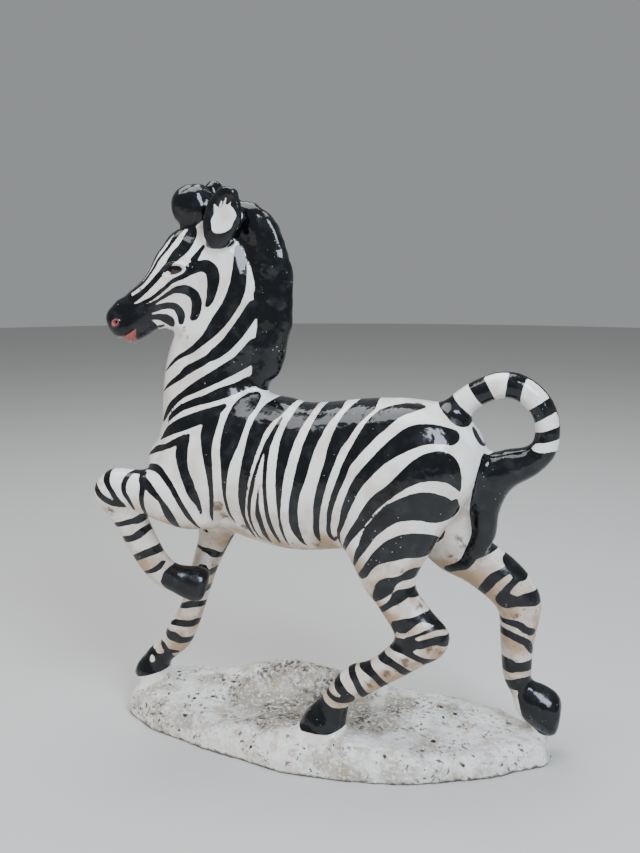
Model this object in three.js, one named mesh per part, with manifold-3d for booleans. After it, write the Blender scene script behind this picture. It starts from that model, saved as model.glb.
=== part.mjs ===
// A glazed ceramic zebra, striding with its near foreleg raised, cast in one with a low rocky mound.
// Millimetres, +Z up. The zebra faces -X, its left flank faces -Y, and its body lies along X.
// The origin is on the flat underside, at the middle of the whole object.
//
// The figure is one smooth body: each limb is a chain of oval sections, the limbs melt into each
// other over a blending distance, and the skin of that body is meshed, thinned and cut off flat.
import * as THREE from "three";
import { mergeVertices } from "three/addons/utils/BufferGeometryUtils.js";
import Module from "manifold-3d";

// Driving sizes
const figureHeight = 385; // sole of the standing near hind hoof to the tip of the higher ear
const headTurn = 14; // degrees that the head turns towards the left flank
const moundPastHooves = 11; // how far the mound reaches past the first and last hoof
const moundBesideHooves = 40; // how far it reaches beside the hooves of each side
const rimHeight = 16; // height of the mound's wall at its edge
const humpHeight = 25; // rise of the hump behind the hooves above that wall
const rimRounding = 9;
const hoofSink = 1; // how deep the hooves are set in the mound
const hoofEdge = 3; // rounding of a sole's edge
const tippedEdge = 8; // the same of the tipped hoof, whose sole is a ball
const tippedSole = 11.5; // height of the middle of the tipped hoof's sole over the ground
const tippedReach = 6.6; // how far that middle lies behind the hoof's toe
const tailRadius = 9.2;
const maneHalfWidth = 8.5;
const earThickness = 9;

// Mesh settings
const gridStep = 3;
const smoothingPulls = [0.6, -0.62, 0.6, -0.62, 0.6, -0.62];
const triangleBudget = 9300;

// The tables below are written for a figure of this height, and scale with figureHeight.
const drawnHeight = 385;
const drawnMound = [330, 132];
const drawnManeHalfWidth = 8.5;
const share = figureHeight / drawnHeight;

// Where the standing hooves meet the mound, as [x, y].
const nearHindFoot = [9.5 * share, -27 * share];
const farHindFoot = [165 * share, 25 * share];
const farForeFoot = [-143 * share, 21 * share];

// The mound: an outline given as a reach in each direction from its middle, as shares of its
// half length and half width, and a top that rises from the rim to one hump and three low shoulders.
const moundLength = farHindFoot[0] - farForeFoot[0] + 2 * moundPastHooves;
const moundWidth = farHindFoot[1] - nearHindFoot[1] + 2 * moundBesideHooves;
const moundMiddle = new THREE.Vector2(0, 12 * share);
const moundReach = [
  1.01, 1.05, 1.07, 1.04, 1.03, 1.03, 1.03, 1.02, 0.962, 0.895, 0.84, 0.865, 0.98, 0.98, 0.925, 0.925,
];
const moundSwells = [
  { at: [-28, 40], spread: [64, 25], rise: 1.03 },
  { at: [-128, 24], spread: [46, 32], rise: 0.5 },
  { at: [64, 26], spread: [60, 30], rise: 0.36 },
  { at: [4, -30], spread: [60, 32], rise: 0.44 },
];

function reachTowards(angle) {
  const turns = (angle / (2 * Math.PI) + 1) % 1;
  const place = turns * moundReach.length;
  const before = Math.floor(place);
  const past = place - before;
  const ease = past * past * (3 - 2 * past);
  const next = (before + 1) % moundReach.length;
  return THREE.MathUtils.lerp(moundReach[before % moundReach.length], moundReach[next], ease);
}

// How far a point is outside the mound's outline, as a length.
function outsideMound(x, y) {
  const across = (x - moundMiddle.x) / (moundLength / 2);
  const along = (y - moundMiddle.y) / (moundWidth / 2);
  const reach = reachTowards(Math.atan2(along, across));
  const size = Math.hypot(across, along);
  if (size < 1e-6) return -moundWidth / 2;
  return Math.hypot(x - moundMiddle.x, y - moundMiddle.y) * (1 - reach / size);
}

function groundAt(x, y) {
  let height = rimHeight;
  for (const { at, spread, rise } of moundSwells) {
    const across = ((x * drawnMound[0]) / moundLength - at[0]) / spread[0];
    const along = ((y * drawnMound[1]) / moundWidth - at[1]) / spread[1];
    height += humpHeight * rise * Math.exp(-across * across - along * along);
  }
  return height;
}

// The figure's tables. A section is [x, y, z, half depth, half width]: the depth lies in the
// animal's own plane and the width across it. In them the near hind hoof stands at soleLevel.
const soleLevel = 30;
const torso = [
  [-101, 0, 203, 28, 24],
  [-86, 0, 206, 35, 31],
  [-68, 0, 209.6, 44.4, 38],
  [-41, 0, 209.2, 52.8, 42],
  [-14, 0, 204.2, 52.8, 42],
  [15, 0, 207.2, 51.8, 40],
  [43, 0, 213, 49.5, 38],
  [68, 0, 218, 44.5, 37],
  [82, 0, 223, 35, 31],
];
const neck = [
  [-83, 0, 218, 33, 28],
  [-84, 0, 248, 33, 25],
  [-82, 0, 275, 32.5, 22],
  [-75, 0, 300, 31, 19.5],
  [-70, 0, 324, 28, 17],
  [-67, 0, 345, 23, 15.5],
  [-70, 0, 362, 17, 13],
];
const mane = [
  [-67, 0, 389, 8, 7],
  [-58, 0, 386, 11, 8],
  [-45, 0, 376, 14, 8.5],
  [-38, 0, 362, 15, 8.5],
  [-34, 0, 345, 15, 8.5],
  [-33, 0, 325, 14, 8.5],
  [-34, 0, 305, 13.5, 8.5],
  [-38, 0, 288, 12.5, 8.5],
  [-43, 0, 275, 9.5, 8],
  [-46, 0, 266, 6, 6],
];
const nearForeleg = [
  [-84, -19, 205, 30, 17],
  [-88, -23, 192, 26, 16],
  [-104, -26, 190, 20, 14],
  [-123, -26, 191.5, 16, 12],
  [-140, -26, 193, 14.5, 12],
  [-147.5, -26, 190.5, 13.5, 11.5],
];
const nearForeShin = [
  [-147, -26, 190, 13.5, 11.5],
  [-142, -24, 181, 13, 11],
  [-135, -22, 167, 12.4, 10.5],
  [-128, -19, 150, 11.5, 10],
  [-121, -15, 135, 10.8, 9.8],
  [-114, -11, 126, 10.5, 9.5],
];
const farForeleg = [
  [-84.5, 18, 204, 28.5, 17],
  [-83.3, 21, 175, 21.7, 14],
  [-87.4, 21, 150, 13.1, 11.6],
  [-95.4, 20, 128, 10.4, 10],
  [-107, 20, 91, 9.5, 9.3],
  [-116, 20, 72, 11.2, 10.5],
  [-121.5, 21, 62.5, 10.6, 10],
  [-128, 21, 55, 9.2, 9.2],
  [-136, 21, 47, 8.4, 8.6],
];
const nearHindLeg = [
  [66, -18, 217, 41, 21],
  [57.5, -22, 187, 34.5, 20],
  [53.7, -25, 152, 21.8, 16.5],
  [60, -27, 133, 14.7, 14],
  [70.8, -28, 117, 15, 13.3],
  [82, -29, 104, 14.8, 12.5],
];
const nearHindShin = [
  [81.5, -29, 103, 14.6, 12.5],
  [66, -30, 89, 12.2, 11],
  [50, -30, 76.5, 10.2, 10],
  [35, -29.5, 67, 11, 10.5],
  [24.5, -29, 59, 10.2, 9.8],
  [19, -28, 51, 8.4, 8.6],
];
const farHindLeg = [
  [70, 17, 214, 40, 20],
  [82, 18, 186, 32, 19],
  [94, 18, 159, 22, 17],
  [108, 19, 147.5, 17.5, 14.5],
  [127, 20, 134, 17, 13.5],
  [139.5, 22, 118, 16, 13],
  [140, 23, 101, 13.8, 11.5],
  [139.5, 24, 81, 11.7, 10.5],
  [140, 24, 66, 10.6, 9.7],
  [141, 24.5, 58, 9.2, 9],
  [144.5, 25, 51, 8.6, 8.8],
];
const tail = [
  [80, 0, 243, 1.05],
  [92, 0, 254, 1.05],
  [107, 0, 267, 1],
  [128, 0, 275, 0.99],
  [146, 0, 267, 0.97],
  [155, 0, 251, 0.93],
  [154.5, 0, 234.5, 0.95],
  [145.5, 0, 224, 1.1],
  [133.5, 0, 219.5, 1.38],
  [122.5, 0, 212, 1.48],
  [116.5, 1, 190, 1.08],
  [115, 3, 171, 1],
  [106, 6, 150, 0.7],
];

// The head's tables lie in its own straight frame, and turn with the head about the poll.
const poll = [-76, 0, 345];
const skull = [
  [-80, 0, 358, 17, 14],
  [-92, 0, 352.5, 21.5, 16],
  [-102.5, 0, 343.5, 21.8, 16],
  [-113, 0, 331.5, 19, 14],
  [-123.5, 0, 320.5, 15.5, 12],
  [-133.5, 0, 313.5, 13.8, 11.5],
  [-141.5, 0, 309, 12.8, 12],
];
const jowl = [
  [-97, 0, 333, 21, 13.5],
  [-91, 0, 327, 20, 13.5],
];
const chin = [
  [-128, 0, 307.5, 6.5, 8],
  [-138, 0, 302.5, 6, 8.5],
];
const forelock = [
  [-80, 0, 389, 11, 9],
  [-88.5, 0, 390, 14, 11],
  [-91.5, 0, 393, 12.5, 10.5],
];
const forelockRoot = [
  [-88, 0, 386, 12, 10],
  [-86, 0, 376, 9, 8],
];
const ears = [
  { root: [-66.5, -17, 372], tip: [-58, -21, 402], halfWidth: 14, facing: [0.1, -1, 0.15] },
  { root: [-78, 14, 376], tip: [-82, 16, 409], halfWidth: 12, facing: [-0.5, 1, 0] },
];

// How softly each form melts into what it grows from.
const blends = {
  trunk: 16,
  limb: 12,
  joint: 5,
  head: 7,
  mane: 4,
  tail: 5,
  ear: 3,
  scoop: 1.5,
  hoof: 2.5,
  mound: 3,
};

function scaled(section) {
  const [x, y, z, ...radii] = section;
  return [x * share, y * share, ownSole + (z - soleLevel) * share, ...radii.map((r) => r * share)];
}

const ownSole = groundAt(...nearHindFoot);

// The middle of the sole of a hoof that stands on the mound.
function standingSole([x, y]) {
  return [x, y, groundAt(x, y) - hoofSink];
}

// The far hind hoof stands on its toe with its sole turned back.
function tippedMiddle([x, y]) {
  return [x + tippedReach * share, y, groundAt(x, y) + tippedSole * share];
}

// Each hoof goes from its pastern through its middle to the middle of its sole, which faces a
// direction of its own. The raised fore hoof leans on the standing foreleg.
const hooves = [
  {
    pastern: scaled([18.2, -27, 49.5]),
    middle: scaled([13.6, -27, 39]),
    sole: standingSole(nearHindFoot),
    facing: [0, 0, -1],
    radius: 16.4 * share,
    girth: 0.8,
  },
  {
    pastern: scaled([-137.5, 21, 47]),
    middle: scaled([-140, 21, 39]),
    sole: standingSole(farForeFoot),
    facing: [0, 0, -1],
    radius: 15 * share,
    girth: 0.8,
  },
  {
    pastern: scaled([147.5, 25, 48]),
    middle: scaled([155, 25, 40.5]),
    sole: tippedMiddle(farHindFoot),
    facing: [0.99, 0, -0.12],
    radius: 15.2 * share,
    girth: 1,
    edge: tippedEdge,
  },
  {
    pastern: scaled([-112, -8, 123]),
    middle: scaled([-100, -3.5, 119]),
    sole: scaled([-88, 1, 115]),
    facing: [0.9, 0.34, -0.3],
    radius: 14 * share,
    girth: 0.92,
  },
];
const pasternShare = 0.62; // of the sole's radius
const hoofFlatness = 0.86; // width of a hoof against its length

// A hoof widens from the pastern to a flat sole.
function hoofField({ pastern, middle, sole, facing, radius, girth, edge = hoofEdge }) {
  const normal = new THREE.Vector3(...facing).normalize();
  const beyond = new THREE.Vector3(...sole).addScaledVector(normal, radius).toArray();
  const sections = [
    [...pastern, radius * pasternShare, radius * pasternShare],
    [...middle, radius * girth, radius * girth * hoofFlatness],
    [...sole, radius, radius * hoofFlatness],
    [...beyond, radius, radius * hoofFlatness],
  ];
  const horn = chainField(sections, [0, 1, 0]);
  const field = (x, y, z) => {
    const past = (x - sole[0]) * normal.x + (y - sole[1]) * normal.y + (z - sole[2]) * normal.z;
    return smoothHigher(horn(x, y, z), past, edge);
  };
  return { field, sections };
}

function smoothLower(a, b, blend) {
  const near = Math.max(blend - Math.abs(a - b), 0) / blend;
  return Math.min(a, b) - (near * near * blend) / 4;
}

function smoothHigher(a, b, blend) {
  return -smoothLower(-a, -b, blend);
}

// Each chain's sections are eased into a smooth run of short straight stretches.
function easedChain(sections, steps = 4) {
  if (sections.length < 3) return sections;
  const numbers = sections[0].length;
  const eased = [];
  const last = sections.length - 1;
  for (let i = 0; i < last; i++) {
    const around = [Math.max(i - 1, 0), i, i + 1, Math.min(i + 2, last)].map((at) => sections[at]);
    for (let step = 0; step < steps; step++) {
      const t = step / steps;
      const section = [];
      for (let n = 0; n < numbers; n++) {
        const [a, b, c, d] = around.map((s) => s[n]);
        const bend = (2 * a - 5 * b + 4 * c - d) * t * t + (3 * b - a - 3 * c + d) * t * t * t;
        section.push(b + ((c - a) * t + bend) / 2);
      }
      eased.push(section);
    }
  }
  eased.push(sections[last]);
  return eased;
}

// The distance to a chain of oval sections, whose widths lie along the direction across.
function chainField(sections, across) {
  const chain = easedChain(sections);
  const [ax, ay, az] = across;
  return (x, y, z) => {
    let nearest = Infinity;
    for (let i = 0; i + 1 < chain.length; i++) {
      const a = chain[i];
      const b = chain[i + 1];
      const dx = b[0] - a[0];
      const dy = b[1] - a[1];
      const dz = b[2] - a[2];
      const along = ((x - a[0]) * dx + (y - a[1]) * dy + (z - a[2]) * dz) / (dx * dx + dy * dy + dz * dz);
      const t = Math.min(Math.max(along, 0), 1);
      const vx = x - a[0] - t * dx;
      const vy = y - a[1] - t * dy;
      const vz = z - a[2] - t * dz;
      const depth = a[3] + t * (b[3] - a[3]);
      const width = a[4] + t * (b[4] - a[4]);
      const sideways = vx * ax + vy * ay + vz * az;
      const whole = Math.sqrt(vx * vx + vy * vy + vz * vz);
      const upright = Math.sqrt(Math.max(whole * whole - sideways * sideways, 0));
      const size = Math.hypot(upright / depth, sideways / width);
      const distance = size < 1e-6 ? -Math.min(depth, width) : whole * (1 - 1 / size);
      if (distance < nearest) nearest = distance;
    }
    return nearest;
  };
}

function chainBox(sections, margin) {
  const box = new THREE.Box3();
  for (const [x, y, z, depth, width] of easedChain(sections)) {
    const reach = Math.max(depth, width) + margin;
    box.expandByPoint(new THREE.Vector3(x - reach, y - reach, z - reach));
    box.expandByPoint(new THREE.Vector3(x + reach, y + reach, z + reach));
  }
  return box;
}

// A point turned about the upright axis through the poll.
function turnedHead([x, y, z, ...radii]) {
  const centre = scaled(poll);
  const angle = THREE.MathUtils.degToRad(headTurn);
  const dx = x - centre[0];
  const dy = y - centre[1];
  return [
    centre[0] + dx * Math.cos(angle) - dy * Math.sin(angle),
    centre[1] + dx * Math.sin(angle) + dy * Math.cos(angle),
    z,
    ...radii,
  ];
}

// A grid of values over a box, where a value under zero is clay.
class ClayGrid {
  constructor(box, step) {
    this.low = box.min;
    this.step = step;
    this.size = box.getSize(new THREE.Vector3()).divideScalar(step).ceil().addScalar(1);
    this.values = new Float32Array(this.size.x * this.size.y * this.size.z).fill(40);
  }

  index(i, j, k) {
    return (k * this.size.y + j) * this.size.x + i;
  }

  // Works a field into the clay inside a box, by a rule that joins the old value and the new one.
  work(box, field, rule) {
    const from = box.min.clone().sub(this.low).divideScalar(this.step).ceil();
    const to = box.max.clone().sub(this.low).divideScalar(this.step).floor();
    for (let k = Math.max(from.z, 0); k <= Math.min(to.z, this.size.z - 1); k++)
      for (let j = Math.max(from.y, 0); j <= Math.min(to.y, this.size.y - 1); j++)
        for (let i = Math.max(from.x, 0); i <= Math.min(to.x, this.size.x - 1); i++) {
          const at = this.index(i, j, k);
          const x = this.low.x + i * this.step;
          const y = this.low.y + j * this.step;
          const z = this.low.z + k * this.step;
          this.values[at] = rule(this.values[at], field(x, y, z));
        }
  }

  // Leaves air all round the grid's edge, so that the skin is closed.
  seal() {
    const { x, y, z } = this.size;
    for (let k = 0; k < z; k++)
      for (let j = 0; j < y; j++)
        for (let i = 0; i < x; i++) {
          const atEdge = i % (x - 1) === 0 || j % (y - 1) === 0 || k % (z - 1) === 0;
          if (atEdge) this.values[this.index(i, j, k)] = this.step;
        }
  }

  add({ sections, blend, across }) {
    const field = chainField(sections, across);
    this.work(chainBox(sections, blend + 2 * this.step), field, (a, b) => smoothLower(a, b, blend));
  }

  carve({ sections, blend, across }) {
    const field = chainField(sections, across);
    this.work(chainBox(sections, blend + 2 * this.step), field, (a, b) => smoothHigher(a, -b, blend));
  }
}

// Each form is a chain of sections, the blend that joins it on, and the direction of its widths.
function trunkAndLegs() {
  const form = (sections, blend) => ({ sections: sections.map(scaled), blend, across: [0, 1, 0] });
  return [
    form(torso, blends.trunk),
    form(neck, blends.trunk),
    form(nearHindLeg, blends.limb),
    form(farHindLeg, blends.limb),
    form(farForeleg, blends.limb),
    form(nearForeleg, blends.joint),
    form(nearForeShin, blends.joint),
    form(nearHindShin, blends.joint),
  ];
}

function maneForm() {
  const broader = maneHalfWidth / drawnManeHalfWidth;
  const sections = mane.map(([x, y, z, depth, width]) => scaled([x, y, z, depth, width * broader]));
  return { sections, blend: blends.mane, across: [0, 1, 0] };
}

function headForms() {
  const angle = THREE.MathUtils.degToRad(headTurn);
  const across = [-Math.sin(angle), Math.cos(angle), 0];
  const form = (sections, blend) => ({ sections: sections.map(scaled).map(turnedHead), blend, across });
  return [
    form(skull, blends.head),
    form(jowl, blends.head),
    form(chin, blends.ear),
    form(forelockRoot, blends.ear),
    form(forelock, blends.ear),
  ];
}

function tailForm() {
  const sections = tail.map(([x, y, z, thick]) => scaled([x, y, z, thick * tailRadius, thick * tailRadius]));
  return { sections, blend: blends.tail, across: [0, 1, 0] };
}

// An ear is a leaf of clay: how far up each section is, and its share of the widest.
const earShapes = [
  [0, 0.8],
  [0.35, 1],
  [0.65, 0.85],
  [0.88, 0.5],
  [1, 0.25],
];

function earForm({ root, tip, halfWidth, facing }) {
  const sections = earShapes.map(([up, wide]) => {
    const at = new THREE.Vector3(...root).lerp(new THREE.Vector3(...tip), up);
    return scaled([at.x, at.y, at.z, halfWidth * wide, (earThickness / 2) * (0.5 + 0.5 * wide)]);
  });
  return { sections, blend: blends.ear, across: new THREE.Vector3(...facing).normalize().toArray() };
}

// The shallow hollow on the side that an ear faces.
function earScoop({ root, tip, halfWidth, facing }) {
  const out = new THREE.Vector3(...facing).normalize();
  const sections = earShapes.slice(1, 3).map(([up, wide]) => {
    const at = new THREE.Vector3(...root).lerp(new THREE.Vector3(...tip), up);
    at.addScaledVector(out, earThickness * 0.75);
    return scaled([at.x, at.y, at.z, halfWidth * wide * 0.62, earThickness * 0.5]);
  });
  return { sections, blend: blends.scoop, across: out.toArray() };
}

function addHooves(clay) {
  for (const hoof of hooves) {
    const { field, sections } = hoofField(hoof);
    clay.work(chainBox(sections, 2 * clay.step), field, (a, b) => smoothLower(a, b, blends.hoof));
  }
}

function moundBox() {
  const reach = Math.max(...moundReach) / 2;
  const low = new THREE.Vector3(-moundLength * reach, -moundWidth * reach, -gridStep);
  const high = new THREE.Vector3(moundLength * reach, moundWidth * reach, rimHeight + 2 * humpHeight);
  const middle = new THREE.Vector3(moundMiddle.x, moundMiddle.y, 0);
  return new THREE.Box3(low.add(middle), high.add(middle)).expandByScalar(blends.mound + gridStep);
}

function addMound(clay) {
  const field = (x, y, z) => {
    const side = outsideMound(x, y) * 0.9;
    const top = (z - groundAt(x, y)) * 0.9;
    return smoothHigher(side, top, rimRounding * 2);
  };
  clay.work(moundBox(), field, (a, b) => smoothLower(a, b, blends.mound));
}

// The six tetrahedra around a cell's long diagonal, by the cell's corners in binary order x, y, z.
const tetrahedra = [
  [0, 1, 3, 7],
  [0, 3, 2, 7],
  [0, 2, 6, 7],
  [0, 6, 4, 7],
  [0, 4, 5, 7],
  [0, 5, 1, 7],
];

// The skin where the clay's value is zero, by marching tetrahedra.
function skinOf(clay) {
  const { size, values, low, step } = clay;
  const positions = [];
  const faces = [];
  const crossings = new Map();
  const corner = [0, 1, 2, 3, 4, 5, 6, 7].map((c) => clay.index(c & 1, (c >> 1) & 1, c >> 2));
  const pointOf = (at) => {
    const i = at % size.x;
    const j = Math.floor(at / size.x) % size.y;
    const k = Math.floor(at / (size.x * size.y));
    return [low.x + i * step, low.y + j * step, low.z + k * step];
  };
  const crossing = (a, b) => {
    const [from, to] = a < b ? [a, b] : [b, a];
    const key = from * values.length + to;
    if (crossings.has(key)) return crossings.get(key);
    const t = Math.min(Math.max(values[from] / (values[from] - values[to]), 0.04), 0.96);
    const p = pointOf(from);
    const q = pointOf(to);
    positions.push(...p.map((value, n) => value + t * (q[n] - value)));
    crossings.set(key, positions.length / 3 - 1);
    return positions.length / 3 - 1;
  };
  for (let k = 0; k + 1 < size.z; k++)
    for (let j = 0; j + 1 < size.y; j++)
      for (let i = 0; i + 1 < size.x; i++) {
        const base = clay.index(i, j, k);
        let inside = 0;
        for (const offset of corner) if (values[base + offset] < 0) inside++;
        if (inside === 0 || inside === 8) continue;
        for (const tetrahedron of tetrahedra) {
          const nodes = tetrahedron.map((c) => base + corner[c]);
          const within = nodes.filter((at) => values[at] < 0);
          const without = nodes.filter((at) => values[at] >= 0);
          if (!within.length || !without.length) continue;
          const flip = isOdd(nodes, within.concat(without));
          if (within.length === 1) {
            pushFace(faces, without.map((at) => crossing(within[0], at)), flip);
          } else if (within.length === 3) {
            pushFace(faces, within.map((at) => crossing(at, without[0])), flip);
          } else {
            const [a, b] = within;
            const [c, d] = without;
            pushFace(faces, [crossing(a, c), crossing(a, d), crossing(b, d)], flip);
            pushFace(faces, [crossing(a, c), crossing(b, d), crossing(b, c)], flip);
          }
        }
      }
  return { positions: Float64Array.from(positions), faces: Int32Array.from(faces) };
}

// Evens out the skin. Each point moves towards the middle of its neighbours and then a little
// further back, so that the creases soften and the form keeps its size.
function smoothed({ positions, faces }) {
  const pairs = new Set();
  const points = positions.length / 3;
  for (let f = 0; f < faces.length; f += 3) {
    for (let n = 0; n < 3; n++) pairs.add(faces[f + n] * points + faces[f + ((n + 1) % 3)]);
  }
  let from = positions;
  for (const pull of smoothingPulls) {
    const sums = new Float64Array(from.length);
    const counts = new Float64Array(points);
    for (const pair of pairs) {
      const a = Math.floor(pair / points);
      const b = pair % points;
      counts[a] += 1;
      for (let n = 0; n < 3; n++) sums[3 * a + n] += from[3 * b + n];
    }
    from = from.map((value, at) => value + pull * (sums[at] / counts[Math.floor(at / 3)] - value));
  }
  return { positions: from, faces };
}

function pushFace(faces, [a, b, c], flip) {
  if (flip) faces.push(a, c, b);
  else faces.push(a, b, c);
}

// Whether the second order of four nodes is an odd swap of the first.
function isOdd(nodes, order) {
  const places = order.map((at) => nodes.indexOf(at));
  let swaps = 0;
  for (let a = 0; a < 4; a++) for (let b = a + 1; b < 4; b++) if (places[a] > places[b]) swaps++;
  return swaps % 2 === 1;
}

// A heap that gives back the cheapest entry first.
class CheapestFirst {
  constructor() {
    this.items = [];
  }

  push(item) {
    const { items } = this;
    let at = items.length;
    items.push(item);
    while (at > 0) {
      const above = (at - 1) >> 1;
      if (items[above].cost <= item.cost) break;
      items[at] = items[above];
      at = above;
    }
    items[at] = item;
  }

  pop() {
    const { items } = this;
    const first = items[0];
    const item = items.pop();
    if (!items.length) return first;
    let at = 0;
    for (;;) {
      let below = 2 * at + 1;
      if (below >= items.length) break;
      if (below + 1 < items.length && items[below + 1].cost < items[below].cost) below++;
      if (items[below].cost >= item.cost) break;
      items[at] = items[below];
      at = below;
    }
    items[at] = item;
    return first;
  }
}

// Thins a closed skin to a number of triangles by collapsing the edges that change it least.
function thinned({ positions, faces }, wanted) {
  const quadrics = new Float64Array((positions.length / 3) * 10);
  const around = Array.from({ length: positions.length / 3 }, () => new Set());
  const alive = new Uint8Array(faces.length / 3).fill(1);
  const versions = new Int32Array(positions.length / 3);
  const point = (v) => [positions[3 * v], positions[3 * v + 1], positions[3 * v + 2]];
  const normalOf = (p, q, r) => {
    const u = [q[0] - p[0], q[1] - p[1], q[2] - p[2]];
    const v = [r[0] - p[0], r[1] - p[1], r[2] - p[2]];
    return [u[1] * v[2] - u[2] * v[1], u[2] * v[0] - u[0] * v[2], u[0] * v[1] - u[1] * v[0]];
  };
  for (let f = 0; f < alive.length; f++) {
    const corners = [faces[3 * f], faces[3 * f + 1], faces[3 * f + 2]];
    const [p, q, r] = corners.map(point);
    const n = normalOf(p, q, r);
    const area = Math.hypot(...n) || 1e-12;
    const [a, b, c] = n.map((value) => value / area);
    const d = -(a * p[0] + b * p[1] + c * p[2]);
    const terms = [a * a, a * b, a * c, a * d, b * b, b * c, b * d, c * c, c * d, d * d];
    for (const v of corners) {
      around[v].add(f);
      for (let t = 0; t < 10; t++) quadrics[10 * v + t] += terms[t] * area;
    }
  }
  const costAt = (q, [x, y, z]) => {
    const squares = q[0] * x * x + q[4] * y * y + q[7] * z * z + q[9];
    return squares + 2 * (q[1] * x * y + q[2] * x * z + q[3] * x + q[5] * y * z + q[6] * y + q[8] * z);
  };
  const proposal = (a, b) => {
    const q = new Float64Array(10);
    for (let t = 0; t < 10; t++) q[t] = quadrics[10 * a + t] + quadrics[10 * b + t];
    const p = point(a);
    const r = point(b);
    const middle = p.map((value, n) => (value + r[n]) / 2);
    const length = Math.hypot(p[0] - r[0], p[1] - r[1], p[2] - r[2]);
    // A weak pull to the middle keeps flat places evenly meshed.
    const pull = 1e-3 * (q[0] + q[4] + q[7]);
    const [xx, yy, zz] = [q[0] + pull, q[4] + pull, q[7] + pull];
    const matrix = new THREE.Matrix3().set(xx, q[1], q[2], q[1], yy, q[5], q[2], q[5], zz);
    const side = [q[3], q[6], q[8]].map((value, n) => pull * middle[n] - value);
    const best = new THREE.Vector3(...side).applyMatrix3(matrix.invert()).toArray();
    const usable = best.every(Number.isFinite) && Math.hypot(...best.map((v, n) => v - middle[n])) < length;
    const at = usable ? best : middle;
    const cost = costAt(q, at) + 2e-4 * length * length * length;
    return { a, b, at, cost, stamp: versions[a] + versions[b] };
  };
  const neighbours = (v) => {
    const found = new Set();
    for (const f of around[v]) for (let n = 0; n < 3; n++) found.add(faces[3 * f + n]);
    found.delete(v);
    return found;
  };
  const heap = new CheapestFirst();
  for (let f = 0; f < alive.length; f++)
    for (let n = 0; n < 3; n++) {
      const [a, b] = [faces[3 * f + n], faces[3 * f + ((n + 1) % 3)]];
      if (a < b) heap.push(proposal(a, b));
    }
  const turnsOver = (v, other, at) => {
    for (const f of around[v]) {
      if (around[other].has(f)) continue;
      const before = [0, 1, 2].map((n) => point(faces[3 * f + n]));
      const after = [0, 1, 2].map((n) => (faces[3 * f + n] === v ? at : before[n]));
      const [n, m] = [normalOf(...before), normalOf(...after)];
      const both = Math.hypot(...n) * Math.hypot(...m);
      if (n[0] * m[0] + n[1] * m[1] + n[2] * m[2] < 0.3 * both + 1e-9) return true;
    }
    return false;
  };
  let left = alive.length;
  while (left > wanted && heap.items.length) {
    const { a, b, at, stamp } = heap.pop();
    if (!around[a].size || !around[b].size || stamp !== versions[a] + versions[b]) continue;
    const beside = neighbours(b);
    if (!beside.has(a)) continue;
    let shared = 0;
    for (const v of neighbours(a)) if (beside.has(v)) shared++;
    if (shared !== 2 || turnsOver(a, b, at) || turnsOver(b, a, at)) continue;
    for (const f of [...around[b]]) {
      if (around[a].has(f)) {
        alive[f] = 0;
        left--;
        for (let n = 0; n < 3; n++) around[faces[3 * f + n]].delete(f);
      } else {
        for (let n = 0; n < 3; n++) if (faces[3 * f + n] === b) faces[3 * f + n] = a;
        around[a].add(f);
      }
    }
    around[b].clear();
    positions.set(at, 3 * a);
    for (let t = 0; t < 10; t++) quadrics[10 * a + t] += quadrics[10 * b + t];
    const ring = neighbours(a);
    versions[a] += 1;
    for (const v of ring) heap.push(proposal(a, v));
  }
  return { positions, faces: faces.filter((_, n) => alive[Math.floor(n / 3)]) };
}

function geometryOf(positions, index) {
  const geometry = new THREE.BufferGeometry();
  geometry.setAttribute("position", new THREE.BufferAttribute(Float32Array.from(positions), 3));
  geometry.setIndex(Array.from(index));
  return geometry;
}

const wasm = await Module();
wasm.setup();

function solidOf(geometry) {
  const bare = geometry.clone();
  bare.deleteAttribute("normal");
  bare.deleteAttribute("uv");
  const merged = mergeVertices(bare);
  const triVerts = Uint32Array.from(merged.index.array);
  const vertProperties = merged.attributes.position.array;
  return new wasm.Manifold(new wasm.Mesh({ numProp: 3, vertProperties, triVerts }));
}

// The underside is cut off flat at the table.
function cutFlat(solid) {
  const depth = 60;
  const block = new THREE.BoxGeometry(3 * moundLength, 3 * moundWidth, depth).translate(0, 0, -depth / 2);
  return solid.subtract(solidOf(block));
}

function buildFigure() {
  const forms = [...trunkAndLegs(), maneForm(), ...headForms(), ...ears.map(earForm), tailForm()];
  const box = forms.reduce((all, { sections }) => all.union(chainBox(sections, 2 * gridStep)), moundBox());
  const clay = new ClayGrid(box, gridStep);
  for (const form of forms) clay.add(form);
  for (const ear of ears) clay.carve(earScoop(ear));
  addMound(clay);
  addHooves(clay);
  clay.seal();
  const skin = thinned(smoothed(skinOf(clay)), triangleBudget);
  const mesh = cutFlat(solidOf(geometryOf(skin.positions, skin.faces))).getMesh();
  return geometryOf(mesh.vertProperties, mesh.triVerts);
}

const glaze = new THREE.MeshStandardMaterial({ color: "#e9e6df", roughness: 0.25, metalness: 0 });
const figure = new THREE.Mesh(buildFigure(), glaze);
figure.name = "zebra_on_mound";
figure.geometry.computeBoundingBox();
const middle = figure.geometry.boundingBox.getCenter(new THREE.Vector3());
figure.position.set(-middle.x, -middle.y, 0);

const sculpture = new THREE.Group();
sculpture.add(figure);

export default sculpture;
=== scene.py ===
"""A glazed ceramic zebra striding on a low rocky mound, dressed over its fixed CAD model."""

import math

import bpy
import numpy as np
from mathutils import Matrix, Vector, noise


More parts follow.
